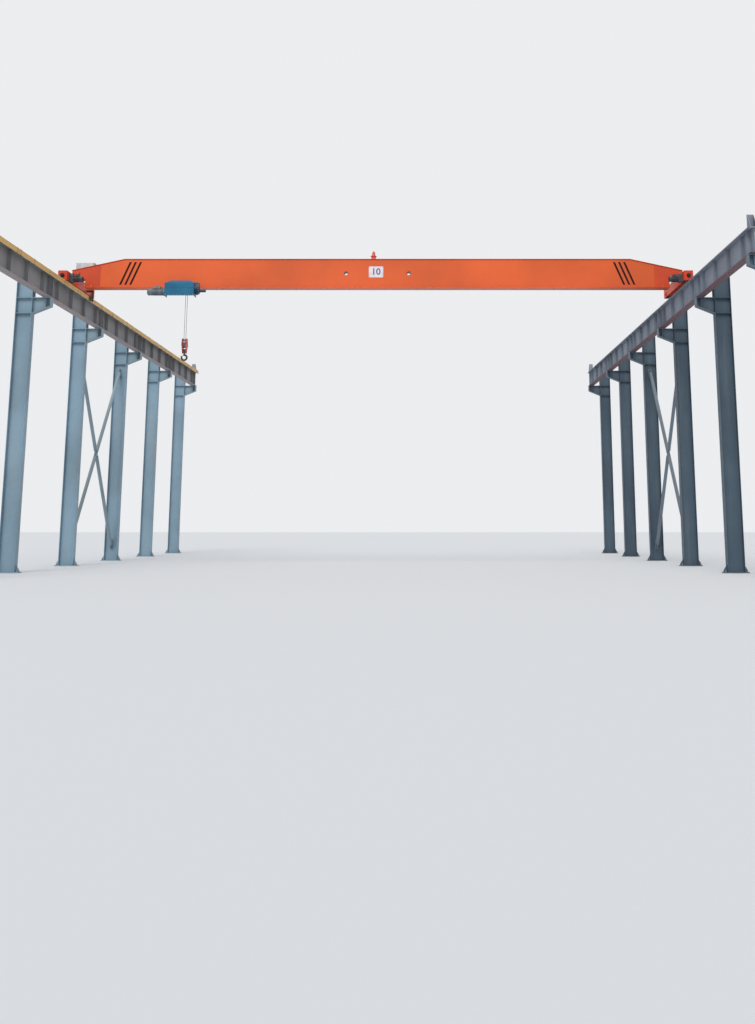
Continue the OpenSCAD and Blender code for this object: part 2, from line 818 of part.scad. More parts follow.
// Alarm beacon: a flared base with a pointed dome
module alarm_beacon() {
    r = beacon_d / 2;
    translate([beacon_x, crane_y, girder_z1]) rotate_extrude($fn = round_fn) polygon([
        [0, 0], [r, 0], [r, 14], [r * 0.72, 30], [r * 0.72, 110], [r * 0.95, 124], [r * 0.95, 150],
        [r * 0.55, 172], [r * 0.5, 250], [r * 0.34, 310], [r * 0.12, 345], [0, 350]
    ]);
}

// Cabinet on two short rails behind the left end, with a roof, a door and a cable gland plate
module panel() {
    x0 = -rail_x - panel_out;
    x1 = x0 + panel_w;
    back = crane_y + panel_y + panel_d;
    door_t = 18;
    rail_w = 50;
    block([x0, crane_y + panel_y, panel_z], [x1, back, panel_z + panel_h]);
    block([x0 - panel_roof, crane_y + panel_y, panel_z + panel_h - 12],
        [x1 + panel_roof, back + panel_roof, panel_z + panel_h]);
    block([x0 + 20, back, panel_z + 25], [x1 - 20, back + door_t, panel_z + panel_h - 35]);
    block([x0 + panel_w * 0.6, crane_y + panel_y + 80, panel_z - 40], [x1 - 60, back - 60, panel_z]);
    for (x = [x0 + 80, x1 - 130])
        block([x, crane_y + girder_width / 2, panel_z],
            [x + rail_w, crane_y + panel_y, web_top(-x) - top_flange_t]);
}

// Two side plates that carry the trolley's stub axles
module trolley_plate() {
    half_x = trolley_base / 2 + 100;
    low = crossbar_z - crossbar_d / 2 - 30;
    high = trolley_axle_z + trolley_wheel_d / 2 + 30;
    cut = 70;
    difference() {
        translate([hoist_x, 0, 0]) along_y(side_in, side_out) polygon([
            [-half_x + cut, low], [half_x - cut, low], [half_x, low + cut], [half_x, high - cut],
            [half_x - cut, high], [-half_x + cut, high], [-half_x, high - cut], [-half_x, low + cut]
        ]);
        for (s = [-1, 1])
            translate([hoist_x + s * crossbar_x, 0, crossbar_z])
                bar_y(side_in - 1, side_out + 1, crossbar_d + 2 * seat_clear);
    }
    for (s = [-1, 1])
        translate([hoist_x + s * trolley_base / 2, 0, trolley_axle_z]) {
            bar_y(bottom_flange_w / 2 - 56, side_in, trolley_pin_d);
            bar_y(bottom_flange_w / 2 - 64, bottom_flange_w / 2 - 56, trolley_pin_d + 24);
            bar_y(side_out, side_out + 14, trolley_pin_d + 24);
        }
}

module trolley_plate_pair() {
    translate([0, crane_y, 0]) for (s = [0, 1]) mirror([0, s, 0]) trolley_plate();
}

// Wheel that runs on the flange's edge, flanged on its outer side
module trolley_wheel() {
    r = trolley_wheel_d / 2;
    edge = bottom_flange_w / 2 + 5;
    difference() {
        translate([0, edge, 0]) rotate([90, 0, 0]) rotate_extrude($fn = round_fn)
            polygon([[0, -12], [r + 15, -12], [r + 15, -4], [r, 0], [r, 56], [r - 4, 60], [0, 60]]);
        bar_y(edge - 70, edge + 20, trolley_pin_d + 2 * shaft_clear);
    }
}

module trolley_wheel_pair(x) {
    translate([hoist_x + x, crane_y, trolley_axle_z]) for (s = [0, 1]) mirror([0, s, 0]) trolley_wheel();
}

// Round bars under the girder with a collar at each side plate
module crossbar_pair() {
    collar = crossbar_d + 28;
    for (s = [-1, 1])
        translate([hoist_x + s * crossbar_x, crane_y, crossbar_z]) {
            bar_y(-frame_back + frame_t, 720, crossbar_d);
            for (m = [0, 1])
                mirror([0, m, 0]) {
                    bar_y(side_in - 22, side_in, collar);
                    bar_y(side_out, side_out + 22, collar);
                }
        }
    block([hoist_x - crossbar_x - 60, crane_y + 340, crossbar_z + crossbar_d / 2],
        [hoist_x + crossbar_x + 60, crane_y + 700, crossbar_z + crossbar_d / 2 + 12]);
}

// Outline of the hood and its back plate, seen from the front
module hood_outline(side, low, top) {
    polygon([
        [-side, low], [-side, top - cover_slant], [-side + 1.4 * cover_slant, top], [side - 160, top],
        [side, top - 90], [side, low]
    ]);
}

// Back plate, two end plates that carry the drum, and the seats of the motor and gear case
module drum_frame_plates() {
    plate_r = drum_flange_r + 20;
    tie_r = drum_flange_r + 8;
    translate([hoist_x, crane_y, 0]) {
        along_y(-frame_back, -frame_back + frame_t)
            hood_outline(cover_out, drum_z - 80, drum_z + cover_rise);
        for (s = [0, 1])
            mirror([s, 0, 0]) difference() {
                along_x(frame_in, frame_out) {
                    intersection() {
                        translate([-drum_y, drum_z]) circle(r = plate_r, $fn = 64);
                        translate([-drum_y - plate_r, drum_z - plate_r])
                            square([2 * plate_r, plate_r + cover_rise - cover_slant - 20]);
                    }
                    translate([-drum_y, drum_z - 80]) square([drum_y - frame_back, 220]);
                }
                translate([0, -drum_y, drum_z]) bar_x(frame_in - 1, frame_out + 1, journal_d + 2 * shaft_clear);
            }
        for (a = [150, 230])
            translate([0, -drum_y + tie_r * cos(a), drum_z + tie_r * sin(a)]) bar_x(-frame_in, frame_in, 16);
        translate([0, -drum_y, motor_z]) bar_x(-cover_out, -frame_out, motor_seat_d);
        translate([0, -drum_y, drum_z]) bar_x(frame_out, cover_out, gear_seat_d);
    }
}

// Sheet hood over the drum, open below and closed behind by the back plate
module hood_form(inset, back) {
    front = -drum_y - drum_flange_r - 50 + inset;
    low = drum_z - cover_drop + (inset > 0 ? -20 : 0);
    top = drum_z + cover_rise - inset;
    side = cover_out - inset;
    intersection() {
        along_x(-side, side) polygon([
            [front, low], [front, drum_z + 200], [front + 120, top], [back, top], [back, low]
        ]);
        along_y(front - 5, back + 5) hood_outline(side, low, top);
    }
}

module hood() {
    translate([hoist_x, crane_y, 0]) difference() {
        hood_form(0, -frame_back);
        hood_form(cover_t, -frame_back + 20);
        translate([0, -drum_y, motor_z]) bar_x(-cover_out - 1, -frame_out, motor_seat_d + 4);
        translate([0, -drum_y, drum_z]) bar_x(frame_out, cover_out + 1, gear_seat_d + 4);
    }
}

// Motor with a flange, finned body and fan cover, left of the drum
module hoist_motor_unit() {
    r = motor_d / 2;
    fins = 14;
    body = motor_len - 170;
    translate([hoist_x - cover_out - 60, crane_y - drum_y, motor_z]) {
        bar_x(0, 60, motor_d + 30);
        rotate([0, -90, 0]) {
            cylinder(r = r - 16, h = body + 30, $fn = round_fn);
            for (k = [0:fins - 1])
                translate([0, 0, 20 + k * (body - 30) / fins]) cylinder(r = r, h = 10, $fn = round_fn);
            translate([0, 0, body]) cylinder(r = r - 4, h = motor_len - body - 20, $fn = round_fn);
            translate([0, 0, motor_len - 20]) cylinder(r1 = r - 4, r2 = r - 34, h = 20, $fn = round_fn);
        }
        block([-body + 60, -110, r - 30], [-120, 40, r + 60]);
    }
}

// Gear case on the drum's right end with the limit switch housing
module hoist_gear_case() {
    x0 = hoist_x + cover_out;
    translate([0, crane_y, 0]) {
        along_x(x0, x0 + gear_w) {
            translate([-drum_y, drum_z]) circle(r = drum_flange_r + 10, $fn = 64);
            translate([-drum_y - gear_top_r, drum_z]) square([2 * gear_top_r, gear_rise]);
            translate([-drum_y, drum_z + gear_rise]) circle(r = gear_top_r, $fn = 48);
        }
        translate([0, -drum_y, drum_z - 60]) bar_x(x0 + gear_w, x0 + gear_w + 250, 110);
    }
}

module cabinet() {
    z0 = crossbar_z + crossbar_d / 2 + 12;
    block([hoist_x - 380, crane_y + 400, z0], [hoist_x + 180, crane_y + 680, z0 + 460]);
}

// Small gear motor that drives a trolley wheel from the rear side
module trolley_drive_unit() {
    translate([hoist_x + trolley_base / 2, crane_y, trolley_axle_z]) {
        bar_y(side_out + 14, side_out + 80, 170);
        bar_y(side_out + 80, side_out + 270, 140);
        bar_y(side_out + 270, side_out + 290, 120);
    }
}

// Plate under the crossbars with the socket that holds the rope's dead end
module rope_anchor_unit() {
    top = crossbar_z - crossbar_d / 2;
    translate([0, crane_y - anchor_y_in, 0]) {
        block([hoist_x - crossbar_x - 40, -40, top - 20], [hoist_x + crossbar_x + 40, 40, top]);
        translate([fall_x, 0, top - 150]) difference() {
            union() {
                cylinder(d = 50, h = 130, $fn = round_fn);
                translate([0, 0, -50]) cylinder(d1 = 30, d2 = 50, h = 50, $fn = round_fn);
            }
            translate([0, 0, -51]) cylinder(d = rope_d + 2 * seat_clear, h = 71, $fn = round_fn);
        }
    }
}

// Drum turned from one piece: journals, flanges and a groove for each turn of rope
module drum() {
    groove_r = rope_r + seat_clear;
    body_r = drum_r - 2;
    translate([hoist_x, crane_y - drum_y, drum_z]) difference() {
        union() {
            bar_x(2 - frame_out, frame_out - 2, journal_d);
            bar_x(-drum_half, drum_half, 2 * body_r);
            for (s = [0, 1]) mirror([s, 0, 0]) bar_x(drum_half - 20, drum_half, 2 * drum_flange_r);
        }
        for (k = [0:grooves - 1])
            translate([(k - (grooves - 1) / 2) * groove_pitch, 0, 0]) rotate([0, 90, 0])
                rotate_extrude($fn = 64) translate([drum_r, 0]) circle(r = groove_r, $fn = 24);
    }
}

// Turns of rope that lie on the drum, up to the one that the rope leaves from
module rope_turns() {
    translate([hoist_x, crane_y - drum_y, drum_z]) for (k = [0:fall_groove - 1])
        translate([(k - (grooves - 1) / 2) * groove_pitch, 0, 0]) rotate([0, 90, 0])
            rotate_extrude($fn = 64) translate([drum_r, 0]) circle(r = rope_r, $fn = 24);
}

// The two falls of rope and the bend under the sheave
module falls() {
    translate([fall_x, crane_y, 0]) {
        translate([0, -drum_y + drum_r, sheave_z]) cylinder(d = rope_d, h = drum_z - sheave_z, $fn = 24);
        translate([0, -anchor_y_in, sheave_z]) cylinder(d = rope_d, h = socket_z - sheave_z, $fn = 24);
        translate([0, -sheave_y, sheave_z]) rotate([0, 90, 0]) rotate([0, 0, -90])
            rotate_extrude(angle = 180, $fn = 64) translate([sheave_r, 0]) circle(r = rope_r, $fn = 24);
    }
}

// Place of the hook block's middle
module at_block(z) {
    translate([fall_x, crane_y - sheave_y, z]) children();
}

// Two cheek plates with the sheave's axle
module cheeks() {
    outer = sheave_r + 45;
    lug = 75;
    at_block(sheave_z) {
        for (s = [0, 1])
            mirror([s, 0, 0]) difference() {
                along_x(cheek_gap / 2, cheek_gap / 2 + cheek_t) {
                    circle(r = outer, $fn = 64);
                    polygon([
                        [-outer * 0.9, -outer * 0.436], [outer * 0.9, -outer * 0.436],
                        [lug, cross_z - sheave_z], [-lug, cross_z - sheave_z]
                    ]);
                    translate([0, cross_z - sheave_z]) circle(r = lug, $fn = 48);
                }
                translate([0, 0, cross_z - sheave_z])
                    bar_x(0, cheek_gap / 2 + cheek_t + 1, trunnion_d + 2 * seat_clear);
            }
        bar_x(-cheek_gap / 2 - cheek_t - 14, cheek_gap / 2 + cheek_t + 14, block_pin_d);
    }
}

// Crosshead that hangs between the cheeks and carries the hook
module crosshead_block() {
    half = cheek_gap / 2 - 2;
    at_block(cross_z) difference() {
        union() {
            block([-half, -55, -cross_h / 2], [half, 55, cross_h / 2]);
            bar_x(-cheek_gap / 2 - cheek_t - 10, cheek_gap / 2 + cheek_t + 10, trunnion_d);
        }
        translate([0, 0, -cross_h]) cylinder(d = shank_d + 2 * shaft_clear, h = 2 * cross_h, $fn = round_fn);
    }
}

module sheave() {
    groove_r = rope_r + seat_clear;
    outer = sheave_r + 18;
    at_block(sheave_z) difference() {
        rotate([0, 90, 0]) rotate_extrude($fn = 64) polygon([
            [0, -cheek_gap / 2 + 2], [50, -cheek_gap / 2 + 2], [50, -12], [outer - 50, -12],
            [outer - 40, -sheave_w / 2], [outer, -sheave_w / 2], [outer, -sheave_w / 2 + 8],
            [sheave_r, -groove_r], [sheave_r, groove_r], [outer, sheave_w / 2 - 8],
            [outer, sheave_w / 2], [outer - 40, sheave_w / 2], [outer - 50, 12], [50, 12],
            [50, cheek_gap / 2 - 2], [0, cheek_gap / 2 - 2]
        ]);
        rotate([0, 90, 0]) rotate_extrude($fn = 64) translate([sheave_r, 0]) circle(r = groove_r, $fn = 24);
        bar_x(-cheek_gap, cheek_gap, block_pin_d + 2 * shaft_clear);
    }
}

// Forged hook: nut, shank and neck turned in one, then the bowl and the point
module hook_forging() {
    ring_r = bowl_r + hook_t / 2;
    shank_r = shank_d / 2;
    nut_r = shank_r + 22;
    nut_z = cross_z + cross_h / 2 + seat_clear - bowl_z;
    collar_z = cross_z - cross_h / 2 - 10 - bowl_z;
    tip_r = 17;
    at_block(bowl_z) {
        rotate_extrude($fn = 64) polygon([
            [0, bowl_r - 4], [hook_t * 0.3, bowl_r - 2], [hook_t * 0.52, bowl_r + 8],
            [hook_t * 0.6, bowl_r + 24], [hook_t * 0.55, ring_r + 14], [shank_r, collar_z],
            [shank_r, nut_z], [nut_r, nut_z], [nut_r, nut_z + 44], [nut_r - 6, nut_z + 50],
            [0, nut_z + 50]
        ]);
        rotate([90, 0, 0]) {
            rotate([0, 0, -175]) rotate_extrude(angle = 265, $fn = 64)
                translate([ring_r, 0]) circle(d = hook_t, $fn = 32);
            rotate([0, 0, 185]) translate([ring_r, 0, 0]) rotate([90, 0, 12])
                rotate_extrude($fn = 48) polygon([
                    [0, -12], [hook_t / 2 - 2, -12], [hook_t / 2 - 2, 4], [tip_r + 3, 58],
                    [tip_r, 68], [tip_r * 0.7, 76], [0, 82]
                ]);
        }
    }
}

// Sheet latch from the hook's neck to the inner side of its point
module hook_latch() {
    neck_z = bowl_r + 24;
    neck_x = hook_t * 0.6 + seat_clear;
    point_x = bowl_r + 23;
    at_block(bowl_z) along_y(-hook_t / 4, hook_t / 4) polygon([
        [-neck_x, neck_z], [-neck_x, neck_z - 16], [-point_x + 6, 34], [-point_x, 42]
    ]);
}

module left_columns() { color(paint_column) on_left() columns(); }
module right_columns() { color(paint_column) columns(); }
module left_corbels() { color(paint_column) on_left() corbels(); }
module right_corbels() { color(paint_column) corbels(); }
module left_beams() { color(paint_beam) on_left() beams(); }
module right_beams() { color(paint_beam) beams(); }
module left_rail() { color(bare_steel) on_left() rail(); }
module right_rail() { color(bare_steel) rail(); }
module end_stops() { color(paint_girder) end_stop_pairs(); }
module left_bracing() { color(paint_column) on_left() bracing(); }
module right_bracing() { color(paint_column) bracing(); }
module conductor_bars() { color(paint_bar) on_left() conductor_bar_set(); }
module conductor_brackets() { color(paint_beam) on_left() conductor_bracket_set(); }
module front_web() { color(paint_girder) girder_web(-girder_width / 2, -girder_width / 2 + web_t); }
module rear_web() { color(paint_girder) girder_web(girder_width / 2 - web_t, girder_width / 2); }
module top_flange() { color(paint_girder) girder_top(); }
module bottom_flange() { color(paint_girder) girder_bottom(); }
module end_plates() { color(paint_girder) { end_plate(); on_left() end_plate(); } }
module lifting_pipes() { color(dark_steel) for (s = [-1, 1]) lifting_pipe(s * lifting_x); }
module left_truck() { color(paint_girder) on_left() truck(); }
module right_truck() { color(paint_girder) truck(); }
module girder_seats() { color(paint_girder) { girder_seat(); on_left() girder_seat(); } }
module buffers() { color(black_rubber) buffer_set(); }
module travel_drives() { color(dark_steel) travel_drive_pair(); }
module collector() { color(dark_steel) on_left() collector_arm(); }
module beacon() { color(beacon_red) alarm_beacon(); }
module electric_cabinet() { color(paint_panel) panel(); }
module near_wheels() { color(bare_steel) wheel_pair(-wheelbase / 2); }
module far_wheels() { color(bare_steel) wheel_pair(wheelbase / 2); }
module trolley_plates() { color(paint_hoist) trolley_plate_pair(); }
module crossbars() { color(dark_steel) crossbar_pair(); }
module drum_frame() { color(paint_hoist) drum_frame_plates(); }
module drum_cover() { color(paint_hoist) hood(); }
module hoist_motor() { color(bare_steel) hoist_motor_unit(); }
module hoist_gearbox() { color(dark_steel) hoist_gear_case(); }
module control_cabinet() { color(paint_hoist) cabinet(); }
module trolley_drive() { color(dark_steel) trolley_drive_unit(); }
module rope_anchor() { color(dark_steel) rope_anchor_unit(); }
module left_trolley_wheels() { color(bare_steel) trolley_wheel_pair(-trolley_base / 2); }
module right_trolley_wheels() { color(bare_steel) trolley_wheel_pair(trolley_base / 2); }
module rope_drum() { color(bare_steel) drum(); }
module wound_rope() { color(dark_steel) rope_turns(); }
module hoist_ropes() { color(dark_steel) falls(); }
module block_cheeks() { color(block_red) cheeks(); }
module crosshead() { color(bare_steel) crosshead_block(); }
module block_sheave() { color(bare_steel) sheave(); }
module hook() { color(dark_steel) hook_forging(); }
module latch() { color(bare_steel) hook_latch(); }

left_columns();
right_columns();
left_corbels();
right_corbels();
left_beams();
right_beams();
left_rail();
right_rail();
end_stops();
left_bracing();
right_bracing();
conductor_bars();
conductor_brackets();
front_web();
rear_web();
top_flange();
bottom_flange();
end_plates();
lifting_pipes();
left_truck();
right_truck();
girder_seats();
buffers();
travel_drives();
collector();
beacon();
electric_cabinet();
near_wheels();
far_wheels();
trolley_plates();
crossbars();
drum_frame();
drum_cover();
hoist_motor();
hoist_gearbox();
control_cabinet();
trolley_drive();
rope_anchor();
left_trolley_wheels();
right_trolley_wheels();
rope_drum();
wound_rope();
hoist_ropes();
block_cheeks();
crosshead();
block_sheave();
hook();
latch();
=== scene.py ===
import math

import bmesh
import bpy
from mathutils import Matrix, Vector


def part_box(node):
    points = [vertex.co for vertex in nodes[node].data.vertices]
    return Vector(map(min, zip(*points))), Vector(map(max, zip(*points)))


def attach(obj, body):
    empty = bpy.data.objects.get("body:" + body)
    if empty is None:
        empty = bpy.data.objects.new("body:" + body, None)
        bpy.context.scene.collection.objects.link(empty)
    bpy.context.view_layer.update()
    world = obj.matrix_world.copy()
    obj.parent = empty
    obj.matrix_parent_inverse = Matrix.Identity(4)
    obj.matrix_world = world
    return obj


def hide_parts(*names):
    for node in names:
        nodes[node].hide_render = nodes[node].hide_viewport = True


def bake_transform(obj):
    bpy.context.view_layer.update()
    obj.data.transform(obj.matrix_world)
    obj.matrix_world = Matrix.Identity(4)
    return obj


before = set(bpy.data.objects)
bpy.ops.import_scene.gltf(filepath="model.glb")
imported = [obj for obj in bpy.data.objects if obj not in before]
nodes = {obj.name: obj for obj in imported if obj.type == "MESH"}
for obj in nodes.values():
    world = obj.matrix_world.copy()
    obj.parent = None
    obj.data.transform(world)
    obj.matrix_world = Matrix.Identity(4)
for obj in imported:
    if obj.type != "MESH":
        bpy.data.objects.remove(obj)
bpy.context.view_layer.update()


def put(name, data):
    """A new object in the scene."""
    made = bpy.data.objects.new(name, data)
    bpy.context.scene.collection.objects.link(made)
    return made


# Camera
# The photo was taken by someone standing in the aisle, with the camera tilted up by ten degrees.
# The picture is cropped off centre, so the lens is shifted by the same share of the frame.
camera = put("camera", bpy.data.cameras.new("camera"))
camera.location = (1.65, -45.2, 1.6)
camera.rotation_euler = (math.radians(90 + 10.5), 0, 0)
camera.data.lens = 37.7
camera.data.shift_x = -0.043
camera.data.shift_y = -0.1828
camera.data.clip_end = 400
bpy.context.scene.camera = camera


# Columns
# Welded H sections on base plates, sprayed blue-grey in the shop and gone patchy since. Each one
# is held down by four anchor bolts with washers and nuts.
class Value:
    """What a node gives. Arithmetic on numbers adds the Math nodes for it."""

    def __init__(self, wiring, socket):
        self.wiring = wiring
        self.socket = socket

    def maths(self, operation, first, second=0.0):
        inputs = {0: first, 1: second}
        return self.wiring.node("ShaderNodeMath", {"operation": operation}, inputs)

    def function(self, operation):
        return self.maths(operation, self)

    def __add__(self, other):
        return self.maths("ADD", self, other)

    def __radd__(self, other):
        return self.maths("ADD", other, self)

    def __sub__(self, other):
        return self.maths("SUBTRACT", self, other)

    def __rsub__(self, other):
        return self.maths("SUBTRACT", other, self)

    def __mul__(self, other):
        return self.maths("MULTIPLY", self, other)

    def __rmul__(self, other):
        return self.maths("MULTIPLY", other, self)

    def __truediv__(self, other):
        return self.maths("DIVIDE", self, other)


class Wiring:
    """A tree of nodes that is wired up one call at a time."""

    def __init__(self, tree):
        self.tree = tree

    def node(self, kind, settings, inputs, out=0):
        """Adds a node: its settings first, then a value or a link for each socket named."""
        made = self.tree.nodes.new(kind)
        for name, setting in settings.items():
            setattr(made, name, setting)
        for key, given in inputs.items():
            for one in given if isinstance(given, list) else [given]:
                if isinstance(one, Value):
                    self.tree.links.new(one.socket, made.inputs[key])
                else:
                    made.inputs[key].default_value = one
        return Value(self, made.outputs[out])


class Finish(Wiring):
    """One material: a Principled shader with what varies over the surface worked out on nodes."""

    def __init__(self, name, specular=0.5):
        self.material = bpy.data.materials.new(name)
        self.material.use_nodes = True
        super().__init__(self.material.node_tree)
        self.shader = self.tree.nodes["Principled BSDF"]
        self.shader.inputs["Specular IOR Level"].default_value = specular
        self.place = self.node("ShaderNodeTexCoord", {}, {}, "Object")

    def part(self, vector, axis):
        return self.node("ShaderNodeSeparateXYZ", {}, {0: vector}, axis)

    def upward(self):
        """1 on faces that look up, 0 on upright and hanging ones."""
        normal = self.node("ShaderNodeNewGeometry", {}, {}, "Normal")
        return self.step(self.part(normal, 2), 0.3, 0.9)

    def noise(self, scale, detail=3.0, rough=0.55, stretch=(1, 1, 1)):
        place = self.node("ShaderNodeMapping", {}, {"Vector": self.place, "Scale": stretch})
        inputs = {"Vector": place, "Scale": scale, "Detail": detail, "Roughness": rough}
        return self.node("ShaderNodeTexNoise", {}, inputs)

    def step(self, value, low, high, bottom=0.0, top=1.0):
        inputs = {0: value, 1: low, 2: high, 3: bottom, 4: top}
        return self.node("ShaderNodeMapRange", {"interpolation_type": "SMOOTHSTEP"}, inputs)

    def between(self, value, low, high):
        """A noise spread between two values."""
        return self.step(value, 0.3, 0.7, low, high)

    def mix(self, factor, first, second):
        inputs = {0: factor, 6: first, 7: second}
        return self.node("ShaderNodeMix", {"data_type": "RGBA"}, inputs, 2)

    def bump(self, height, distance, strength=0.4):
        inputs = {"Height": height, "Strength": strength, "Distance": distance}
        return self.node("ShaderNodeBump", {}, inputs)

    def done(self, **given):
        for name, one in given.items():
            socket = self.shader.inputs[name.replace("_", " ").title()]
            if isinstance(one, Value):
                self.tree.links.new(one.socket, socket)
            else:
                socket.default_value = one
        return self.material


def rgb(red, green, blue):
    """A colour written as it looks on a screen, 0 to 255."""
    return tuple(((c / 255 + 0.055) / 1.055) ** 2.4 for c in (red, green, blue)) + (1.0,)


def toned(color, share):
    return tuple(min(1.0, c * share) for c in color[:3]) + (1.0,)


def paint(
    name, color, dirt, streaks=0.3, dust=0.35, gloss=0.42, patch=0.35, chips=0.5,
    second=None, where=None,
):
    """Sprayed steel: patches of tone, runs of dirt, dust on top, chipped specks and orange peel.

    A second colour goes on wherever the mask that is worked out by `where` is 1.
    """
    f = Finish(name, 0.3)
    fine = f.noise(9.0, 6.0, 0.65)
    speck = f.noise(55.0, 3.0, 0.6)
    run = f.noise(1.4, 5.0, 0.6, (3.0, 3.0, 0.2))
    shade = f.mix(f.step(f.noise(patch, 4.0), 0.35, 0.65), toned(color, 0.84), toned(color, 1.08))
    if where:
        shade = f.mix(where(f), shade, second)
    shade = f.mix(f.step(run, 0.5, 0.72) * streaks, shade, dirt)
    shade = f.mix(f.step(fine, 0.45, 0.8) * (0.3 * streaks), shade, toned(dirt, 0.6))
    top = f.upward()
    shade = f.mix(top * (f.step(fine, 0.2, 0.7) * dust + 0.4 * dust), shade, rgb(150, 142, 128))
    worn = f.step(speck * fine, 0.385, 0.41) * chips
    shade = f.mix(worn, shade, rgb(84, 62, 50))
    rough = f.between(fine, gloss - 0.07, gloss + 0.13) + worn * 0.3 + top * 0.25
    height = fine * 0.6 + speck * 0.25 - worn * 0.6
    return f.done(base_color=shade, roughness=rough, normal=f.bump(height, 0.002))


def dress(material, *names):
    for name in names:
        nodes[name].data.materials.clear()
        nodes[name].data.materials.append(material)


def dress_lit_and_shaded_sides(pieces, words, left, right, wear):
    """Sprays the left and the right pieces, each with dirt of its own. The right side's darker
    colour is painted shade, as that side stands in shadow.
    """
    for side, tones in (("left", left), ("right", right)):
        dress(paint(f"{side} {words}", *tones, *wear), f"{side}_{pieces}")


class Growth(Wiring):
    """A Geometry Nodes tree with named sizes. It ends in real geometry with one finish."""

    def __init__(self, name, **sizes):
        super().__init__(bpy.data.node_groups.new(name, "GeometryNodeTree"))
        ports = self.tree.interface
        ports.new_socket("points", in_out="INPUT", socket_type="NodeSocketGeometry")
        ports.new_socket("piece", in_out="OUTPUT", socket_type="NodeSocketGeometry")
        for size, first in sizes.items():
            kind = "NodeSocketInt" if isinstance(first, int) else "NodeSocketFloat"
            ports.new_socket(size, in_out="INPUT", socket_type=kind).default_value = first
        ports.new_socket("finish", in_out="INPUT", socket_type="NodeSocketMaterial")
        self.entry = self.tree.nodes.new("NodeGroupInput")

    def size(self, name):
        return Value(self, self.entry.outputs[name])

    def vector(self, x=0.0, y=0.0, z=0.0):
        return self.node("ShaderNodeCombineXYZ", {}, {0: x, 1: y, 2: z})

    def moved(self, shape, place=(0, 0, 0), turn=(0, 0, 0)):
        inputs = {"Geometry": shape, "Translation": place, "Rotation": turn}
        return self.node("GeometryNodeTransform", {}, inputs)

    def block(self, size, place=(0, 0, 0)):
        return self.moved(self.node("GeometryNodeMeshCube", {}, {"Size": size}), place)

    def disc(self, sides, radius, depth, place=(0, 0, 0)):
        inputs = {"Vertices": sides, "Radius": radius, "Depth": depth}
        return self.moved(self.node("GeometryNodeMeshCylinder", {}, inputs), place)

    def row(self, count, step):
        return self.node("GeometryNodeMeshLine", {}, {"Count": count, "Offset": step})

    def joined(self, *shapes):
        return self.node("GeometryNodeJoinGeometry", {}, {0: list(shapes)})

    def copies(self, shape, points, turn=(0, 0, 0)):
        inputs = {"Points": points, "Instance": shape, "Rotation": turn}
        return self.node("GeometryNodeInstanceOnPoints", {}, inputs)

    def around(self, shape, count):
        """Copies spaced evenly round Z."""
        index = self.node("GeometryNodeInputIndex", {}, {})
        turn = self.vector(z=index * (2 * math.pi) / count)
        return self.copies(shape, self.row(count, (0, 0, 0)), turn)

    def circle(self, sides, radius):
        inputs = {"Resolution": sides, "Radius": radius}
        return self.node("GeometryNodeCurvePrimitiveCircle", {"mode": "RADIUS"}, inputs)

    def path(self):
        """The edges that join the points, as a curve cut into even steps."""
        line = self.node("GeometryNodeMeshToCurve", {}, {0: self.size("points")})
        inputs = {"Curve": line, "Length": self.size("step")}
        return self.node("GeometryNodeResampleCurve", {"mode": "LENGTH"}, inputs)

    def swept(self, curve, profile, caps=False):
        inputs = {"Curve": curve, "Profile Curve": profile, "Fill Caps": caps}
        return self.node("GeometryNodeCurveToMesh", {}, inputs)

    def random(self, low, high):
        inputs = {2: low, 3: high, "Seed": self.size("seed")}
        return self.node("FunctionNodeRandomValue", {"data_type": "FLOAT"}, inputs, 1)

    def facing(self):
        """The turn that stands a shape's Z along the direction kept with each point."""
        inputs = {"Name": "facing"}
        way = self.node("GeometryNodeInputNamedAttribute", {"data_type": "FLOAT_VECTOR"}, inputs)
        return self.node("FunctionNodeAlignRotationToVector", {"axis": "Z"}, {"Vector": way})

    def done(self, shape):
        real = self.node("GeometryNodeRealizeInstances", {}, {0: shape})
        inputs = {0: real, "Material": self.size("finish")}
        dressed = self.node("GeometryNodeSetMaterial", {}, inputs)
        self.tree.links.new(dressed.socket, self.tree.nodes.new("NodeGroupOutput").inputs[0])
        return self.tree

    def planted(self, shape, turn=(0, 0, 0)):
        """Ends the tree with a copy of the shape at each point."""
        return self.done(self.copies(shape, self.size("points"), turn))


def seat(piece, body):
    """Gives a piece its body, unless it is to stretch between two."""
    if body:
        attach(piece, body)
    return piece


def grow(name, tree, body, slot, places, edges=(), **sizes):
    """Runs a tree on (point, direction) pairs and keeps the result as a plain mesh."""
    points = bpy.data.meshes.new(name + "_points")
    points.from_pydata([place for place, way in places], edges, [])
    facing = points.attributes.new("facing", "FLOAT_VECTOR", "POINT")
    facing.data.foreach_set("vector", [c for place, way in places for c in way])
    piece = put(name, points)
    growth = piece.modifiers.new("growth", "NODES")
    growth.node_group = tree
    for socket in tree.interface.items_tree:
        if socket.in_out == "INPUT" and socket.name in sizes:
            growth[socket.identifier] = sizes[socket.name]
    graph = bpy.context.evaluated_depsgraph_get()
    piece.data = bpy.data.meshes.new_from_object(piece.evaluated_get(graph), depsgraph=graph)
    piece.modifiers.clear()
    return seat(piece, body)


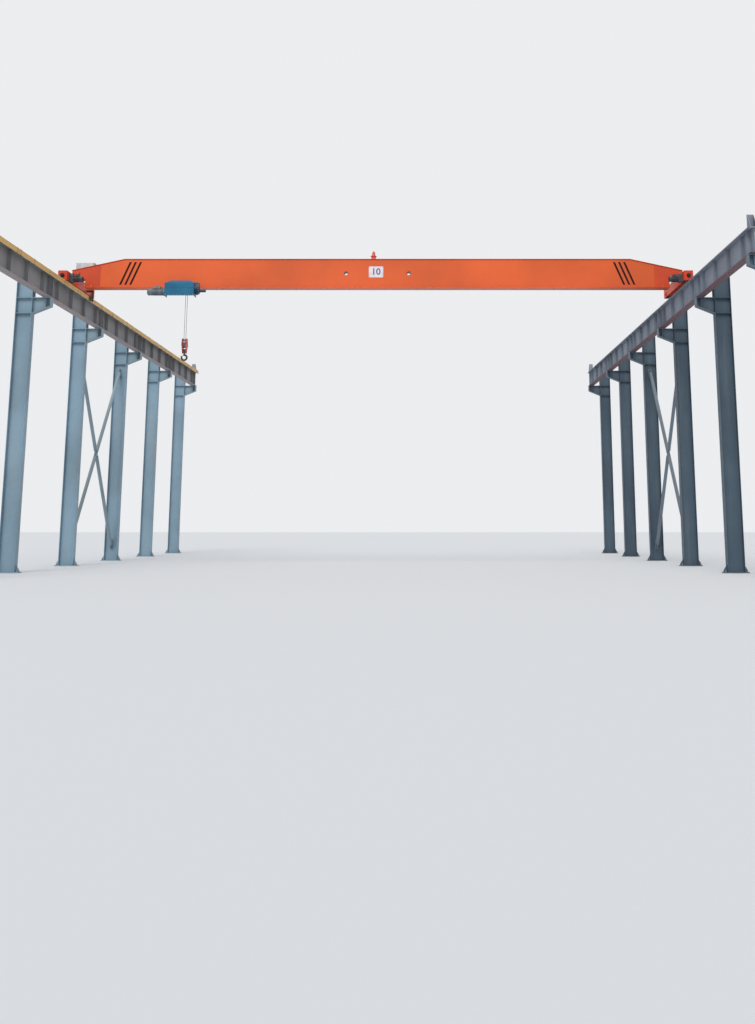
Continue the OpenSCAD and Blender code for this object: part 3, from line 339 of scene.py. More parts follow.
def bolt_tree():
    """A washer, a hexagon and a stud end at each point, turned at random about its own axis."""
    g = Growth("bolts", across=0.036, head=0.022, washer=0.004, stud=0.006, seed=7)
    across = g.size("across")
    head = g.size("head")
    washer = g.size("washer")
    stud = g.size("stud")
    one = g.joined(
        g.disc(14, across * 0.95, washer, g.vector(z=washer / 2)),
        g.disc(6, across * 0.577, head, g.vector(z=washer + head / 2)),
        g.disc(8, across * 0.3, stud, g.vector(z=washer + head + stud / 2)),
    )
    spin = g.node("FunctionNodeAxisAngleToRotation", {}, {"Angle": g.random(0.0, 1.05)})
    inputs = {"Rotation": g.facing(), "Rotate By": spin}
    turn = g.node("FunctionNodeRotateRotation", {"rotation_space": "LOCAL"}, inputs)
    return g.planted(one, turn)


def round_spots(radius, degrees):
    """The two coordinates of each angle's place on a circle."""
    angles = [math.radians(d) for d in degrees]
    return [(radius * math.cos(a), radius * math.sin(a)) for a in angles]


def middle(name):
    low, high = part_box(name)
    return (low + high) / 2


rail_low, rail_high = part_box("left_rail")
left_x = middle("left_rail").x
right_x = -left_x
rail_foot = rail_low.z
rail_top = rail_high.z
column_low, column_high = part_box("right_columns")
column_x = middle("right_columns").x
base_width = 0.32
base_top = 0.03
bays = 5
bay = (column_high.y - column_low.y - base_width) / bays
column_lines = [column_low.y + base_width / 2 + i * bay for i in range(bays + 1)]
anchor_x = 0.35
anchor_y = 0.09

weathered = (0.35, 0.4, 0.5)
# The right columns are a darker blue-grey than the left: painted shade, as that side stands in
# shadow.
left = (rgb(130, 156, 172), rgb(146, 148, 142))
right = (rgb(72, 90, 104), rgb(104, 110, 112))
dress_lit_and_shaded_sides("columns", "column blue-grey", left, right, weathered)

f = Finish("zinc")
spangle = f.noise(90.0, 3.0, 0.6)
zinc_shade = f.mix(f.step(spangle, 0.35, 0.65), rgb(120, 120, 120), rgb(168, 168, 166))
zinc = f.done(base_color=zinc_shade, roughness=f.between(spangle, 0.35, 0.6), metallic=0.8)

bolts = bolt_tree()
up = (0, 0, 1)
both = (-1, 1)
small_screw = {"across": 0.012, "head": 0.006, "washer": 0.001, "stud": 0.001}
gland = {"across": 0.03, "head": 0.022, "stud": 0.02}


def bolt(name, body, slot, places, finish=zinc, **sizes):
    grow(name, bolts, body, slot, places, finish=finish, **sizes)


anchors = [
    ((side * (column_x + sx * anchor_x), y + sy * anchor_y, base_top), up)
    for side in both for y in column_lines for sx in both for sy in both
]
bolt("anchor_bolts", "runway", "rail_steel", anchors, across=0.046, head=0.028, stud=0.05)


# Corbels
# Welded brackets that carry the beams, with a tie plate above each one that holds the beam's top
# back to the column. The beams are bolted down through the bearing plates.
# The right corbels are painted darker than the left: painted shade, as that side stands in shadow.
left = (rgb(134, 156, 168), rgb(150, 150, 144))
right = (rgb(94, 112, 126), rgb(124, 126, 124))
dress_lit_and_shaded_sides("corbels", "corbel grey", left, right, (0.3, 0.4, 0.5))
beam_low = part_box("right_beams")[0]
flange_t = 0.016
tie_t = 0.012
bearing_bolts = [
    ((side * (right_x + sx * 0.10), y + sy * 0.05, beam_low.z + flange_t), up)
    for side in both for y in column_lines for sx in both for sy in both
]
tie_bolts = [
    ((side * (right_x + out), y + sy * 0.06, rail_foot + tie_t), up)
    for side in both for y in column_lines for sy in both for out in (0.15, 0.27)
]
bolt("beam_bolts", "runway", "rail_steel", bearing_bolts, across=0.032, head=0.02)
bolt("tie_bolts", "runway", "rail_steel", tie_bolts, across=0.028, head=0.017)


# Runway beams
# Welded plate girders from column to column, dull with dust. Their bottom flanges were never
# painted over and still show their primer underneath.
def beam_paint(name, color, primer):
    f = Finish(name, 0.3)
    fine = f.noise(11.0, 6.0, 0.65)
    run = f.noise(1.8, 5.0, 0.6, (3.0, 3.0, 0.25))
    shade = f.mix(f.step(f.noise(0.45, 4.0), 0.3, 0.7), toned(color, 0.82), toned(color, 1.06))
    shade = f.mix(f.step(run, 0.5, 0.75) * 0.4, shade, rgb(126, 118, 106))
    seam = beam_low.z + flange_t
    under = f.step(f.part(f.place, 2), seam - 0.0005, seam + 0.0005, 1.0, 0.0)
    shade = f.mix(under, shade, f.mix(f.step(fine, 0.4, 0.7), primer, toned(primer, 0.75)))
    shade = f.mix(f.upward() * 0.5, shade, rgb(140, 132, 118))
    rough = f.between(fine, 0.5, 0.75)
    return f.done(base_color=shade, roughness=rough, normal=f.bump(fine, 0.002))


left_grey = beam_paint("left beam grey", rgb(136, 138, 142), rgb(160, 149, 150))
dress(left_grey, "left_beams")
right_grey = beam_paint("right beam grey", rgb(132, 142, 156), rgb(112, 88, 94))
dress(right_grey, "right_beams", "end_stops")


# Crane rails
# Rolled rails with a scaly brown flank and a head that the wheels keep bright. Forged clips hold
# the foot down on both sides, every 600 mm.
f = Finish("rail steel")
rust = f.noise(16.0, 6.0, 0.65)
worn = f.step(f.part(f.place, 2), rail_top - 0.009, rail_top - 0.002)
rail_shade = f.mix(f.step(rust, 0.3, 0.7), rgb(82, 60, 48), rgb(116, 94, 76))
rail_shade = f.mix(worn, rail_shade, rgb(184, 182, 178))
rail_steel = f.done(base_color=rail_shade, roughness=0.75 - worn * 0.45, metallic=worn * 0.85,
                    normal=f.bump(rust, 0.001))
dress(rail_steel, "left_rail", "right_rail")


def clip_tree():
    """Rows of rail clips on both sides of a rail whose near end is the point."""
    g = Growth("rail_clips", count=50, pitch=0.6, reach=0.082)
    clip = g.joined(
        g.block((0.05, 0.07, 0.012), (0, 0, 0.006)),
        g.block((0.056, 0.05, 0.012), (-0.014, 0, 0.019)),
        g.disc(6, 0.016, 0.016, (0.006, 0, 0.032)),
        g.disc(8, 0.009, 0.012, (0.006, 0, 0.046)),
    )
    row = g.row(g.size("count"), g.vector(y=g.size("pitch")))
    reach = g.size("reach")
    one_side = g.moved(g.copies(clip, row), g.vector(x=reach))
    other = g.moved(g.copies(clip, row, (0, 0, math.pi)), g.vector(x=0 - reach))
    return g.planted(g.joined(one_side, other))


clip_pitch = 0.6
clip_count = int((rail_high.y - rail_low.y - clip_pitch / 2) / clip_pitch) + 1
clip_start = -(clip_count - 1) * clip_pitch / 2
clip_points = [((x, clip_start, rail_foot), up) for x in (left_x, right_x)]
iron = paint("dark iron", rgb(70, 66, 62), rgb(96, 78, 62), 0.4, 0.3, 0.6)
grow("rail_clips", clip_tree(), "runway", "rail_steel", clip_points, count=clip_count,
     pitch=clip_pitch, finish=iron)


# End stops
# Welded plates bolted to the beams past the rail's ends, where the trucks' buffers meet them.
stop_bolts = [
    ((side * (right_x + sx * 0.05), end * (rail_high.y + past), rail_foot + 0.02), up)
    for side in both for end in both for sx in both for past in (0.10, 0.24)
]
bolt("stop_bolts", "runway", "rail_steel", stop_bolts)


# Bracing
# Crossed pipes in the middle bay, slotted over gusset plates and bolted to them.
# The right bracing is painted darker than the left: painted shade, as that side stands in shadow.
left = (rgb(132, 152, 162), rgb(150, 148, 140))
right = (rgb(112, 128, 140), rgb(136, 136, 130))
dress_lit_and_shaded_sides("bracing", "brace grey", left, right, weathered)
brace_low, brace_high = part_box("right_bracing")
brace_mid = middle("right_bracing")
pipe_reach = (brace_high - brace_low) / 2
slant = math.hypot(pipe_reach.y, pipe_reach.z)
gusset_t = 0.014
gusset_face = column_x + gusset_t / 2
on_pipe = [pipe_reach * (1 - inset / slant) for inset in (0.14, 0.20, 0.26)]
gusset_bolts = [
    ((side * gusset_face, brace_mid.y + sy * to.y, brace_mid.z + sz * to.z), (side, 0, 0))
    for side in both for sy in both for sz in both for to in on_pipe
]
bolt("gusset_bolts", "runway", "rail_steel", gusset_bolts, across=0.032)


# Conductor bars
# Yellow insulated bars, one above the other beside the left beam's top flange. Plastic hangers
# clip them to the brackets and brown sleeves cover their joints.
bar_pitch = 0.058
bar_half = 0.023
f = Finish("conductor yellow")
grime = f.noise(2.6, 6.0, 0.65, (1.0, 0.3, 1.0))
bar_shade = f.mix(f.step(grime, 0.42, 0.72) * 0.6, rgb(242, 208, 142), rgb(202, 172, 126))
bar_yellow = f.done(base_color=bar_shade, roughness=0.5, normal=f.bump(grime, 0.001))
dress(bar_yellow, "conductor_bars")
dark_paint = paint("dark paint", rgb(52, 54, 58), rgb(112, 104, 94), 0.3, 0.3, 0.5)
dress(dark_paint, "conductor_brackets", "collector")


def hanger_tree():
    """At each point, a clip round every bar: jaws above and below, and a web behind them."""
    g = Growth("bar_hangers", poles=3, pitch=0.058, width=0.03, depth=0.034, jaw=0.006)
    width = g.size("width")
    depth = g.size("depth")
    jaw = g.size("jaw")
    reach = bar_half + jaw / 2
    clip = g.joined(
        g.block(g.vector(depth, width, jaw), g.vector(z=reach)),
        g.block(g.vector(depth, width, jaw), g.vector(z=0 - reach)),
        g.block(g.vector(jaw / 2, width, 0.05), g.vector(x=jaw / 4 - depth / 2)),
    )
    row = g.row(g.size("poles"), g.vector(z=g.size("pitch")))
    return g.planted(g.copies(clip, row))


bar_x, _, bar_z = middle("conductor_bars")
brackets_per_bay = 4
bracket_pitch = bay / brackets_per_bay
bracket_start = column_lines[0] + bracket_pitch / 2 + 0.06
bracket_lines = [bracket_start + k * bracket_pitch for k in range(brackets_per_bay * bays)]
hangers = [((bar_x + 0.004, y, bar_z - bar_pitch), up) for y in bracket_lines]


def moulded(name, color, grain=60.0, low=0.4, high=0.6):
    f = Finish(name)
    return f.done(base_color=color, roughness=f.between(f.noise(grain), low, high))


black_plastic = moulded("black plastic", rgb(36, 36, 38))
clips = hanger_tree()
grow("bar_hangers", clips, "runway", "bar_plastic", hangers, pitch=bar_pitch, finish=black_plastic)
sleeve_lines = (-12.4, -6.4, 0.0, 6.2, 12.3)
sleeves = [((bar_x - 0.001, y, bar_z - bar_pitch), up) for y in sleeve_lines]
sleeve_plastic = moulded("sleeve plastic", rgb(150, 110, 52))
grow("bar_sleeves", clips, "runway", "bar_plastic", sleeves, pitch=bar_pitch, width=0.16,
     finish=sleeve_plastic)
bracket_under = rail_foot - flange_t - 0.008
bracket_bolts = [((left_x + 0.12, y, bracket_under), (0, 0, -1)) for y in bracket_lines]
bolt("bracket_bolts", "runway", "rail_steel", bracket_bolts, across=0.024, head=0.014)


# Bridge girder
# A box of two web plates welded between a narrow top flange and the wide bottom flange that the
# hoist runs on, sprayed orange. Doubler plates stiffen the webs where the ends step up.
girder_orange = rgb(217, 92, 40)
girder_wear = (rgb(176, 98, 66), 0.16, 0.3, 0.36, 0.22, 0.25)
girder_paint = paint("girder orange", girder_orange, *girder_wear)
truck_paint = paint("truck orange", rgb(214, 66, 34), rgb(136, 70, 50), 0.25, 0.35, 0.4, 0.6, 0.4)
end_paint = paint("girder end orange", rgb(206, 72, 33), rgb(156, 80, 54), 0.2, 0.3, 0.38, 0.4, 0.3)
dress(girder_paint, "front_web", "rear_web", "top_flange", "bottom_flange", "end_plates")
web_low, web_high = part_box("front_web")
front_y = web_low.y
rear_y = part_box("rear_web")[1].y
crane_y = (front_y + rear_y) / 2
top_flange_t = 0.012
bottom_flange_t = 0.02
girder_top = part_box("top_flange")[1].z
girder_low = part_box("bottom_flange")[0].z
girder_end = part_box("bottom_flange")[1].x
nose_end = web_high.x
seat_t = 0.012
nose_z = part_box("right_truck")[1].z + seat_t
taper_length = 1.8
taper_drop = 0.4
taper_start = right_x - taper_length
taper_slope = taper_drop / taper_length


def web_edge(x):
    """Height of the web's top edge at a place along the girder."""
    return girder_top - top_flange_t - max(0.0, abs(x) - taper_start) * taper_slope


def slab(name, outline, y0, y1, edge=0.0015):
    """A flat plate with this outline in X and Z, between two depths, with its edges broken."""
    bm = bmesh.new()
    ring = [bm.verts.new((x, y0, z)) for x, z in outline]
    face = bm.faces.new(ring)
    moved = bmesh.ops.extrude_face_region(bm, geom=[face])["geom"]
    far_ring = [v for v in moved if isinstance(v, bmesh.types.BMVert)]
    bmesh.ops.translate(bm, vec=(0, y1 - y0, 0), verts=far_ring)
    bmesh.ops.recalc_face_normals(bm, faces=bm.faces)
    bmesh.ops.bevel(bm, geom=bm.edges[:], offset=edge, segments=1, affect="EDGES")
    mesh = bpy.data.meshes.new(name)
    bm.to_mesh(mesh)
    bm.free()
    return mesh


def plate_outline(x0, x1, z0, z1):
    return [(x0, z0), (x1, z0), (x1, z1), (x0, z1)]


def make(mesh, body, material):
    """Keeps a mesh as a piece of the same name."""
    mesh.materials.append(material)
    seat(put(mesh.name, mesh), body)


doubler_from = 10.34
doubler_t = 0.006
doubler_gap = 0.012
doubler_low = girder_low + bottom_flange_t + 0.01
for face_name, face_y, out_y in (("front", front_y, -1), ("rear", rear_y, 1)):
    for side_name, side in (("left", -1), ("right", 1)):
        outline = [
            (side * doubler_from, doubler_low),
            (side * (girder_end - doubler_gap), doubler_low),
            (side * (girder_end - doubler_gap), nose_z + doubler_gap),
            (side * (nose_end - doubler_gap), nose_z + doubler_gap),
            (side * (nose_end - doubler_gap), web_edge(nose_end) - doubler_gap),
            (side * doubler_from, web_edge(doubler_from) - doubler_gap),
        ]
        mesh = slab(f"{face_name}_{side_name}_doubler", outline, face_y, face_y + out_y * doubler_t)
        make(mesh, "bridge", end_paint)


def bead_tree():
    """A weld bead along the edges that join the points, a little uneven in size."""
    g = Growth("weld_beads", radius=0.005, step=0.05, seed=3)
    inputs = {"Curve": g.path(), "Radius": g.random(0.75, 1.2)}
    line = g.node("GeometryNodeSetCurveRadius", {}, inputs)
    return g.done(g.swept(line, g.circle(6, g.size("radius")), True))


beads = bead_tree()


def weld(name, body, slot, material, lines, radius=0.005, step=0.05):
    """Runs a weld bead along each line, given as a list of its corners."""
    places = []
    edges = []
    for line in lines:
        first = len(places)
        places += [(point, up) for point in line]
        edges += [(first + i, first + i + 1) for i in range(len(line) - 1)]
    grow(name, beads, body, slot, places, edges, radius=radius, step=step, finish=material)


web_welds = []
for y in (front_y, rear_y):
    web_welds.append([(x, y, girder_low + bottom_flange_t) for x in (-girder_end, girder_end)])
    corners = (-nose_end, -taper_start, taper_start, nose_end)
    web_welds.append([(x, y, web_edge(x)) for x in corners])
weld("girder_welds", "bridge", "girder_paint", girder_paint, web_welds, 0.006)


def stripe_tree():
    """Leaning bars of tape side by side, upright on each point, from the first bar's middle."""
    g = Growth("stripes", count=3, pitch=0.19, width=0.08, height=0.87, lean=0.36, tape=0.0012)
    tape = g.block(g.vector(g.size("width"), g.size("height"), g.size("tape")))
    spot = g.node("GeometryNodeInputPosition", {}, {})
    rise = g.node("ShaderNodeSeparateXYZ", {}, {0: spot}, 1)
    shift = g.vector(x=rise * g.size("lean") / g.size("height"))
    tape = g.node("GeometryNodeSetPosition", {}, {"Geometry": tape, "Offset": shift})
    row = g.row(g.size("count"), g.vector(x=g.size("pitch")))
    return g.planted(g.moved(g.copies(tape, row), turn=(math.pi / 2, 0, 0)))


f = Finish("stripe black", 0.15)
tape_wear = f.noise(8.0, 5.0, 0.6)
tape_shade = f.mix(f.step(tape_wear, 0.4, 0.75), rgb(34, 6, 8), rgb(66, 22, 18))
stripe_black = f.done(base_color=tape_shade, roughness=f.between(tape_wear, 0.5, 0.7))
girder_mid = (girder_low + girder_top) / 2
stripe_x = 9.22
stripe_pitch = 0.19
stripe_lean = 0.36
stripes = stripe_tree()
for name, side in (("left", -1), ("right", 1)):
    spots = [((side * stripe_x - stripe_pitch, y, girder_mid), up) for y in (front_y, rear_y)]
    grow(f"{name}_stripes", stripes, "bridge", "girder_paint", spots, pitch=stripe_pitch,
         lean=-side * stripe_lean, finish=stripe_black)


# Number plate
# A white enamelled sheet riveted to the middle of the web, with the crane's number in purple.
plate_x = -0.05
plate_z = 10.845
plate_w = 0.54
plate_h = 0.42
plate_t = 0.004
plate_face = front_y - plate_t
f = Finish("white enamel")
haze = f.noise(6.0, 5.0, 0.6)
enamel_shade = f.mix(f.step(haze, 0.4, 0.75), rgb(222, 216, 222), rgb(196, 192, 198))
enamel = f.done(base_color=enamel_shade, roughness=0.25, coat_weight=f.between(haze, 0.4, 0.2))
corner = 0.02
outline = []
for cx, cz, start in ((1, 1, 0), (-1, 1, 90), (-1, -1, 180), (1, -1, 270)):
    centre_x = plate_x + cx * (plate_w / 2 - corner)
    centre_z = plate_z + cz * (plate_h / 2 - corner)
    for x, z in round_spots(corner, [start + k * 22.5 for k in range(5)]):
        outline.append((centre_x + x, centre_z + z))
mesh = slab("number_plate", outline, front_y, plate_face, 0.001)
make(mesh, "bridge", enamel)

# Raised figures. A figure's height is 0.7 of its font's size.
figure_h = 0.24
text = bpy.data.curves.new("number_ten", "FONT")
text.body = "10"
text.size = figure_h / 0.7
text.extrude = 0.0008
text.offset = 0.006
text.align_x = text.align_y = "CENTER"
drawn = put("number_drawn", text)
graph = bpy.context.evaluated_depsgraph_get()
mesh = bpy.data.meshes.new_from_object(drawn.evaluated_get(graph), depsgraph=graph)
bpy.data.objects.remove(drawn)
mesh.name = "number_ten"
place = Matrix.Translation((plate_x, plate_face - 0.0006, plate_z))
mesh.transform(place @ Matrix.Rotation(math.pi / 2, 4, "X"))
mesh.materials.clear()
purple = moulded("figure purple", rgb(88, 66, 116), 30.0, 0.35, 0.5)
make(mesh, "bridge", purple)
rivet_inset = 0.025
rivet_x = plate_w / 2 - rivet_inset
rivet_z = plate_h / 2 - rivet_inset
rivets = [
    ((plate_x + sx * rivet_x, plate_face, plate_z + sz * rivet_z), (0, -1, 0))
    for sx in both for sz in both
]
bolt("plate_rivets", "bridge", "girder_paint", rivets, across=0.014, head=0.004, washer=0.001,
     stud=0.001)


# Lifting pipes
# Short pipes let through both webs, for the slings that lifted the girder into place. Each one is
# welded all round into a thicker plate, and the pipe is a darker red: painted shade inside the
# hole.
pipe_r = 0.08
pipe_plate_w = 0.5
pipe_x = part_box("lifting_pipes")[1].x - pipe_plate_w / 2


def pipe_shade_mask(f):
    """1 on a pipe, whose darker red is painted shade in the hole, and 0 on the plates round it."""
    x = f.part(f.place, 0).function("ABSOLUTE") - pipe_x
    z = f.part(f.place, 2) - girder_mid
    radius = (x * x + z * z).function("SQRT")
    return f.step(radius, pipe_r + 0.0001, pipe_r + 0.0002, 1.0, 0.0)


# The pipe's darker red is painted shade inside the hole through the webs.
pipe_paint = paint("pipe and plate", girder_orange, *girder_wear, second=rgb(120, 40, 26),
                   where=pipe_shade_mask)
dress(pipe_paint, "lifting_pipes")
ring = round_spots(pipe_r + 0.0025, range(0, 361, 15))
pipe_rings = [
    [(side * pipe_x + x, y, girder_mid + z) for x, z in ring]
    for y in (front_y, rear_y) for side in both
]
weld("pipe_welds", "bridge", "girder_paint", girder_paint, pipe_rings, 0.005, 0.02)


# Alarm beacon
# A red lens with moulded ribs on a flared base, screwed to the top flange.
f = Finish("beacon lens")
rib = (f.part(f.place, 2) * 420.0).function("SINE")
# Lighter and darker bands along the ribs are painted light and shade.
lens_shade = f.mix(f.step(rib, -0.6, 0.8), rgb(190, 44, 28), rgb(226, 74, 44))
beacon_lens = f.done(base_color=lens_shade, roughness=0.22, coat_weight=0.5,
                     normal=f.bump(rib, 0.002))
dress(beacon_lens, "beacon")
beacon_x = middle("beacon").x
beacon_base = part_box("beacon")[0].z + 0.014
screw_ring = round_spots(0.104, range(30, 360, 60))
beacon_screws = [((beacon_x + x, crane_y + y, beacon_base), up) for x, y in screw_ring]
bolt("beacon_screws", "bridge", "dark_steel", beacon_screws, **small_screw)


# End trucks
# Welded boxes with open pockets for the wheels. The bearing covers are bolted on round each axle,
# but for the near axle's inner end, where the drive is. The girder's seats are bolted down on top.
dress(truck_paint, "left_truck", "right_truck", "girder_seats")
truck_low, truck_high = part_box("right_truck")
truck_half = 0.16
truck_plate = 0.012
boss_x = truck_high.x - right_x
_, near_y, axle_z = middle("near_wheels")
far_y = middle("far_wheels").y
cover_ring = round_spots(0.063, range(0, 360, 60))
cover_bolts = [
    ((side * (right_x + out * boss_x), y + dy, axle_z + dz), (side * out, 0, 0))
    for side in both for y, faces in ((near_y, (1,)), (far_y, both)) for out in faces
    for dy, dz in cover_ring
]
bolt("cover_bolts", "bridge", "dark_steel", cover_bolts, across=0.018, head=0.011, washer=0.002,
     stud=0.002)
mount_bolts = [
    ((side * (right_x + sx * 0.06), crane_y + sy * y, nose_z), up)
    for side in both for sx in both for sy in both for y in (0.24, 0.33, 0.42)
]
bolt("seat_bolts", "bridge", "dark_steel", mount_bolts)
truck_welds = [
    [(side * x, y, truck_high.z - truck_plate) for y in (truck_low.y + 0.01, truck_high.y - 0.01)]
    for side in both for x in (right_x - truck_half, right_x + truck_half)
]
weld("truck_welds", "bridge", "girder_paint", truck_paint, truck_welds, 0.004)


# Buffers
# Moulded rubber blocks on steel plates at both ends of each truck.
f = Finish("buffer rubber")
bloom = f.noise(22.0, 5.0, 0.6)
rubber_shade = f.mix(f.step(bloom, 0.4, 0.7), rgb(26, 26, 28), rgb(48, 47, 46))
rubber = f.done(base_color=rubber_shade, roughness=f.between(bloom, 0.65, 0.85),
                normal=f.bump(bloom, 0.001))
dress(rubber, "buffers")


# Wheels
# Turned from forged blanks. The rail polishes the tread, and grease darkens the web.
def wheel_steel(name, axis, first, second, tread):
    """Bright on the tread, greasy and dark towards the hub, round an axle at two coordinates."""
    f = Finish(name)
    grease = f.noise(14.0, 5.0, 0.6)
    shade = f.mix(f.step(grease, 0.35, 0.7), rgb(84, 80, 76), rgb(62, 52, 44))
    across = f.part(f.place, 1 - axis) - first
    rise = f.part(f.place, 2) - second
    radius = (across * across + rise * rise).function("SQRT")
    bright = f.step(radius, tread - 0.012, tread - 0.004)
    shade = f.mix(bright, shade, rgb(168, 166, 162))
    return f.done(base_color=shade, roughness=0.6 - bright * 0.3, metallic=bright * 0.7 + 0.1,
                  normal=f.bump(grease, 0.001))


dress(wheel_steel("near wheel steel", 0, near_y, axle_z, 0.15), "near_wheels")
dress(wheel_steel("far wheel steel", 0, far_y, axle_z, 0.15), "far_wheels")
for name in ("left_trolley_wheels", "right_trolley_wheels"):
    hub = middle(name)
    dress(wheel_steel(name.replace("_", " "), 1, hub.x, hub.z, 0.07), name)


# Travel drives
# A gear motor beside each near wheel. The motor has cooling fins, a terminal box on top and a
# wire guard over its fan.
motor_paint = paint("motor grey", rgb(62, 68, 76), rgb(112, 108, 100), 0.3, 0.35, 0.42)
dress(motor_paint, "travel_drives", "trolley_drive")


def fin_tree():
    """Straight fins round a motor. The point is its body's end, the direction its axis."""
    g = Growth("motor_fins", count=28, radius=0.1, length=0.2, height=0.014, thickness=0.004)
    length = g.size("length")
    fin = g.block(
        g.vector(g.size("height"), g.size("thickness"), length),
        g.vector(x=g.size("radius"), z=length / 2),
    )
    return g.planted(g.around(fin, g.size("count")), g.facing())


def guard_tree():
    """A fan guard: wire rings joined by spokes. The point is its centre, its direction the axis."""
    g = Growth("fan_guards", spokes=8, radius=0.08, wire=0.0022)
    radius = g.size("radius")
    wire = g.size("wire")
    spoke = g.block(g.vector(radius, wire * 1.6, wire * 1.6), g.vector(x=radius / 2))
    profile = g.circle(5, wire)
    parts = [g.around(spoke, g.size("spokes"))]
    for share in (0.28, 0.52, 0.76, 1.0):
        parts.append(g.swept(g.circle(28, radius * share), profile))
    hub = g.disc(14, radius * 0.16, wire * 3)
    return g.planted(g.joined(*parts, hub), g.facing())


def rounded_box(name, low, high, edge=0.008, cover=0.0):
    """A housing with broken edges. With a cover, its top steps in and a lid stands on it."""
    bm = bmesh.new()
    centre = (Vector(low) + Vector(high)) / 2
    size = Vector(high) - Vector(low)
    placed = Matrix.Translation(centre) @ Matrix.Diagonal((*size, 1))
    bmesh.ops.create_cube(bm, size=1.0, matrix=placed)
    if cover:
        lid = max(bm.faces, key=lambda face: face.normal.z)
        bmesh.ops.inset_region(bm, faces=[lid], thickness=0.006, depth=0.0)
        for step, rise in ((0.0, -0.004), (0.004, 0.0), (0.0, 0.004 + cover)):
            bmesh.ops.inset_region(bm, faces=[lid], thickness=step, depth=rise)
    bmesh.ops.bevel(bm, geom=[e for e in bm.edges if e.calc_length() > 3 * edge], offset=edge * 0.5,
                    segments=2, affect="EDGES", clamp_overlap=True)
    mesh = bpy.data.meshes.new(name)
    bm.to_mesh(mesh)
    bm.free()
    return mesh


fins = fin_tree()
guards = guard_tree()
boss_t = 0.022
seat_clear = 0.0003
case_width = 0.11
motor_near = right_x - truck_half - boss_t - seat_clear - case_width
motor_length = 0.34
motor_far = motor_near - motor_length
drive_fins = [((side * (motor_near - 0.03), near_y, axle_z), (-side, 0, 0)) for side in both]
grow("drive_fins", fins, "bridge", "motor_paint", drive_fins, count=26, radius=0.098, length=0.2,
     height=0.022, finish=motor_paint)
drive_guards = [
    ((side * (motor_far - 0.002), near_y, axle_z), (-side, 0, 0)) for side in both
]
grow("drive_guards", guards, "bridge", "motor_paint", drive_guards, radius=0.086,
     finish=dark_paint)
for name, side in (("left", -1), ("right", 1)):
    xs = sorted((side * (motor_near - 0.07), side * (motor_near - 0.20)))
    low = (xs[0], near_y - 0.06, axle_z + 0.09)
    high = (xs[1], near_y + 0.06, axle_z + 0.165)
    mesh = rounded_box(f"{name}_drive_terminals", low, high, cover=0.006)
    make(mesh, "bridge", motor_paint)
case_bolts = [
    ((side * motor_near, near_y + sy * 0.092, axle_z + sz * 0.1), (-side, 0, 0))
    for side in both for sy in both for sz in both
]
bolt("case_bolts", "bridge", "motor_paint", case_bolts, across=0.02, head=0.012)


# Collector shoes
# Spring arms on the mast press a copper shoe into each bar.
shoe_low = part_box("collector")[0]
shoe_y = shoe_low.y + 0.09
arm_bolts = [
    ((shoe_low.x + 0.02, shoe_y - 0.03, bar_z + k * bar_pitch), (0, -1, 0)) for k in (-1, 0, 1)
]
bolt("arm_bolts", "bridge", "dark_steel", arm_bolts, across=0.016, head=0.01)


# Electric cabinet
# A folded and welded sheet steel cabinet with a rain roof, bolted to two rails behind the girder's
# end. Its door is at the back, hinged at the outer end, and cables come in from below.
f = Finish("cabinet grey")
wipe = f.noise(5.0, 5.0, 0.6)
cabinet_shade = f.mix(f.step(wipe, 0.35, 0.7), rgb(196, 200, 202), rgb(172, 176, 176))
cabinet_shade = f.mix(f.upward() * 0.5, cabinet_shade, rgb(150, 144, 132))
cabinet_grey = f.done(base_color=cabinet_shade, roughness=f.between(wipe, 0.38, 0.55),
                      normal=f.bump(f.noise(160.0, 2.0), 0.0006))
dress(cabinet_grey, "electric_cabinet")
panel_low, panel_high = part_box("electric_cabinet")
panel_x0 = panel_low.x + 0.025
panel_x1 = panel_high.x - 0.025
door_y = panel_high.y - 0.007
panel_z = panel_low.z + 0.04


def louvre_tree():
    """Pressed slots one above the other. The point is the lowest, its direction out of the face."""
    g = Growth("louvres", count=6, pitch=0.024, width=0.16, drop=0.012, depth=0.007)
    depth = g.size("depth")
    lip = g.block(g.vector(g.size("width"), g.size("drop"), depth))
    lip = g.moved(lip, g.vector(z=depth * 0.3), (0.45, 0, 0))
    row = g.row(g.size("count"), g.vector(y=0 - g.size("pitch")))
    return g.planted(g.copies(lip, row), g.facing())


def hinges(name, body, x, y, heights):
    """One hinge at each height, from its left and inner faces."""
    for k, z in enumerate(heights):
        mesh = rounded_box(f"{name}_{k + 1}", (x, y, z - 0.03), (x + 0.02, y + 0.024, z + 0.03))
        make(mesh, body, black_plastic)


louvres = louvre_tree()
for name, rise, count in (("cabinet_louvres", 0.06, 6), ("cabinet_high_louvres", 0.24, 4)):
    slots = [((x, door_y, panel_z + rise), (0, 1, 0)) for x in (panel_x0 + 0.2, panel_x1 - 0.2)]
    grow(name, louvres, "bridge", "cabinet_paint", slots, count=count, finish=cabinet_grey)
heights = (panel_z + 0.09, panel_z + 0.33)
hinges("cabinet_hinge", "bridge", panel_x0 + 0.004, door_y - 0.014, heights)
low = (panel_x1 - 0.075, door_y, panel_z + 0.17)
high = (panel_x1 - 0.045, door_y + 0.022, panel_z + 0.27)
mesh = rounded_box("cabinet_handle", low, high, 0.012)
make(mesh, "bridge", black_plastic)
back_y = panel_low.y - 0.003
back = plate_outline(panel_x0 + 0.01, panel_x1 - 0.01, panel_z + 0.012, panel_z + 0.405)
mesh = slab("cabinet_back_panel", back, panel_low.y, back_y, 0.001)
make(mesh, "bridge", cabinet_grey)
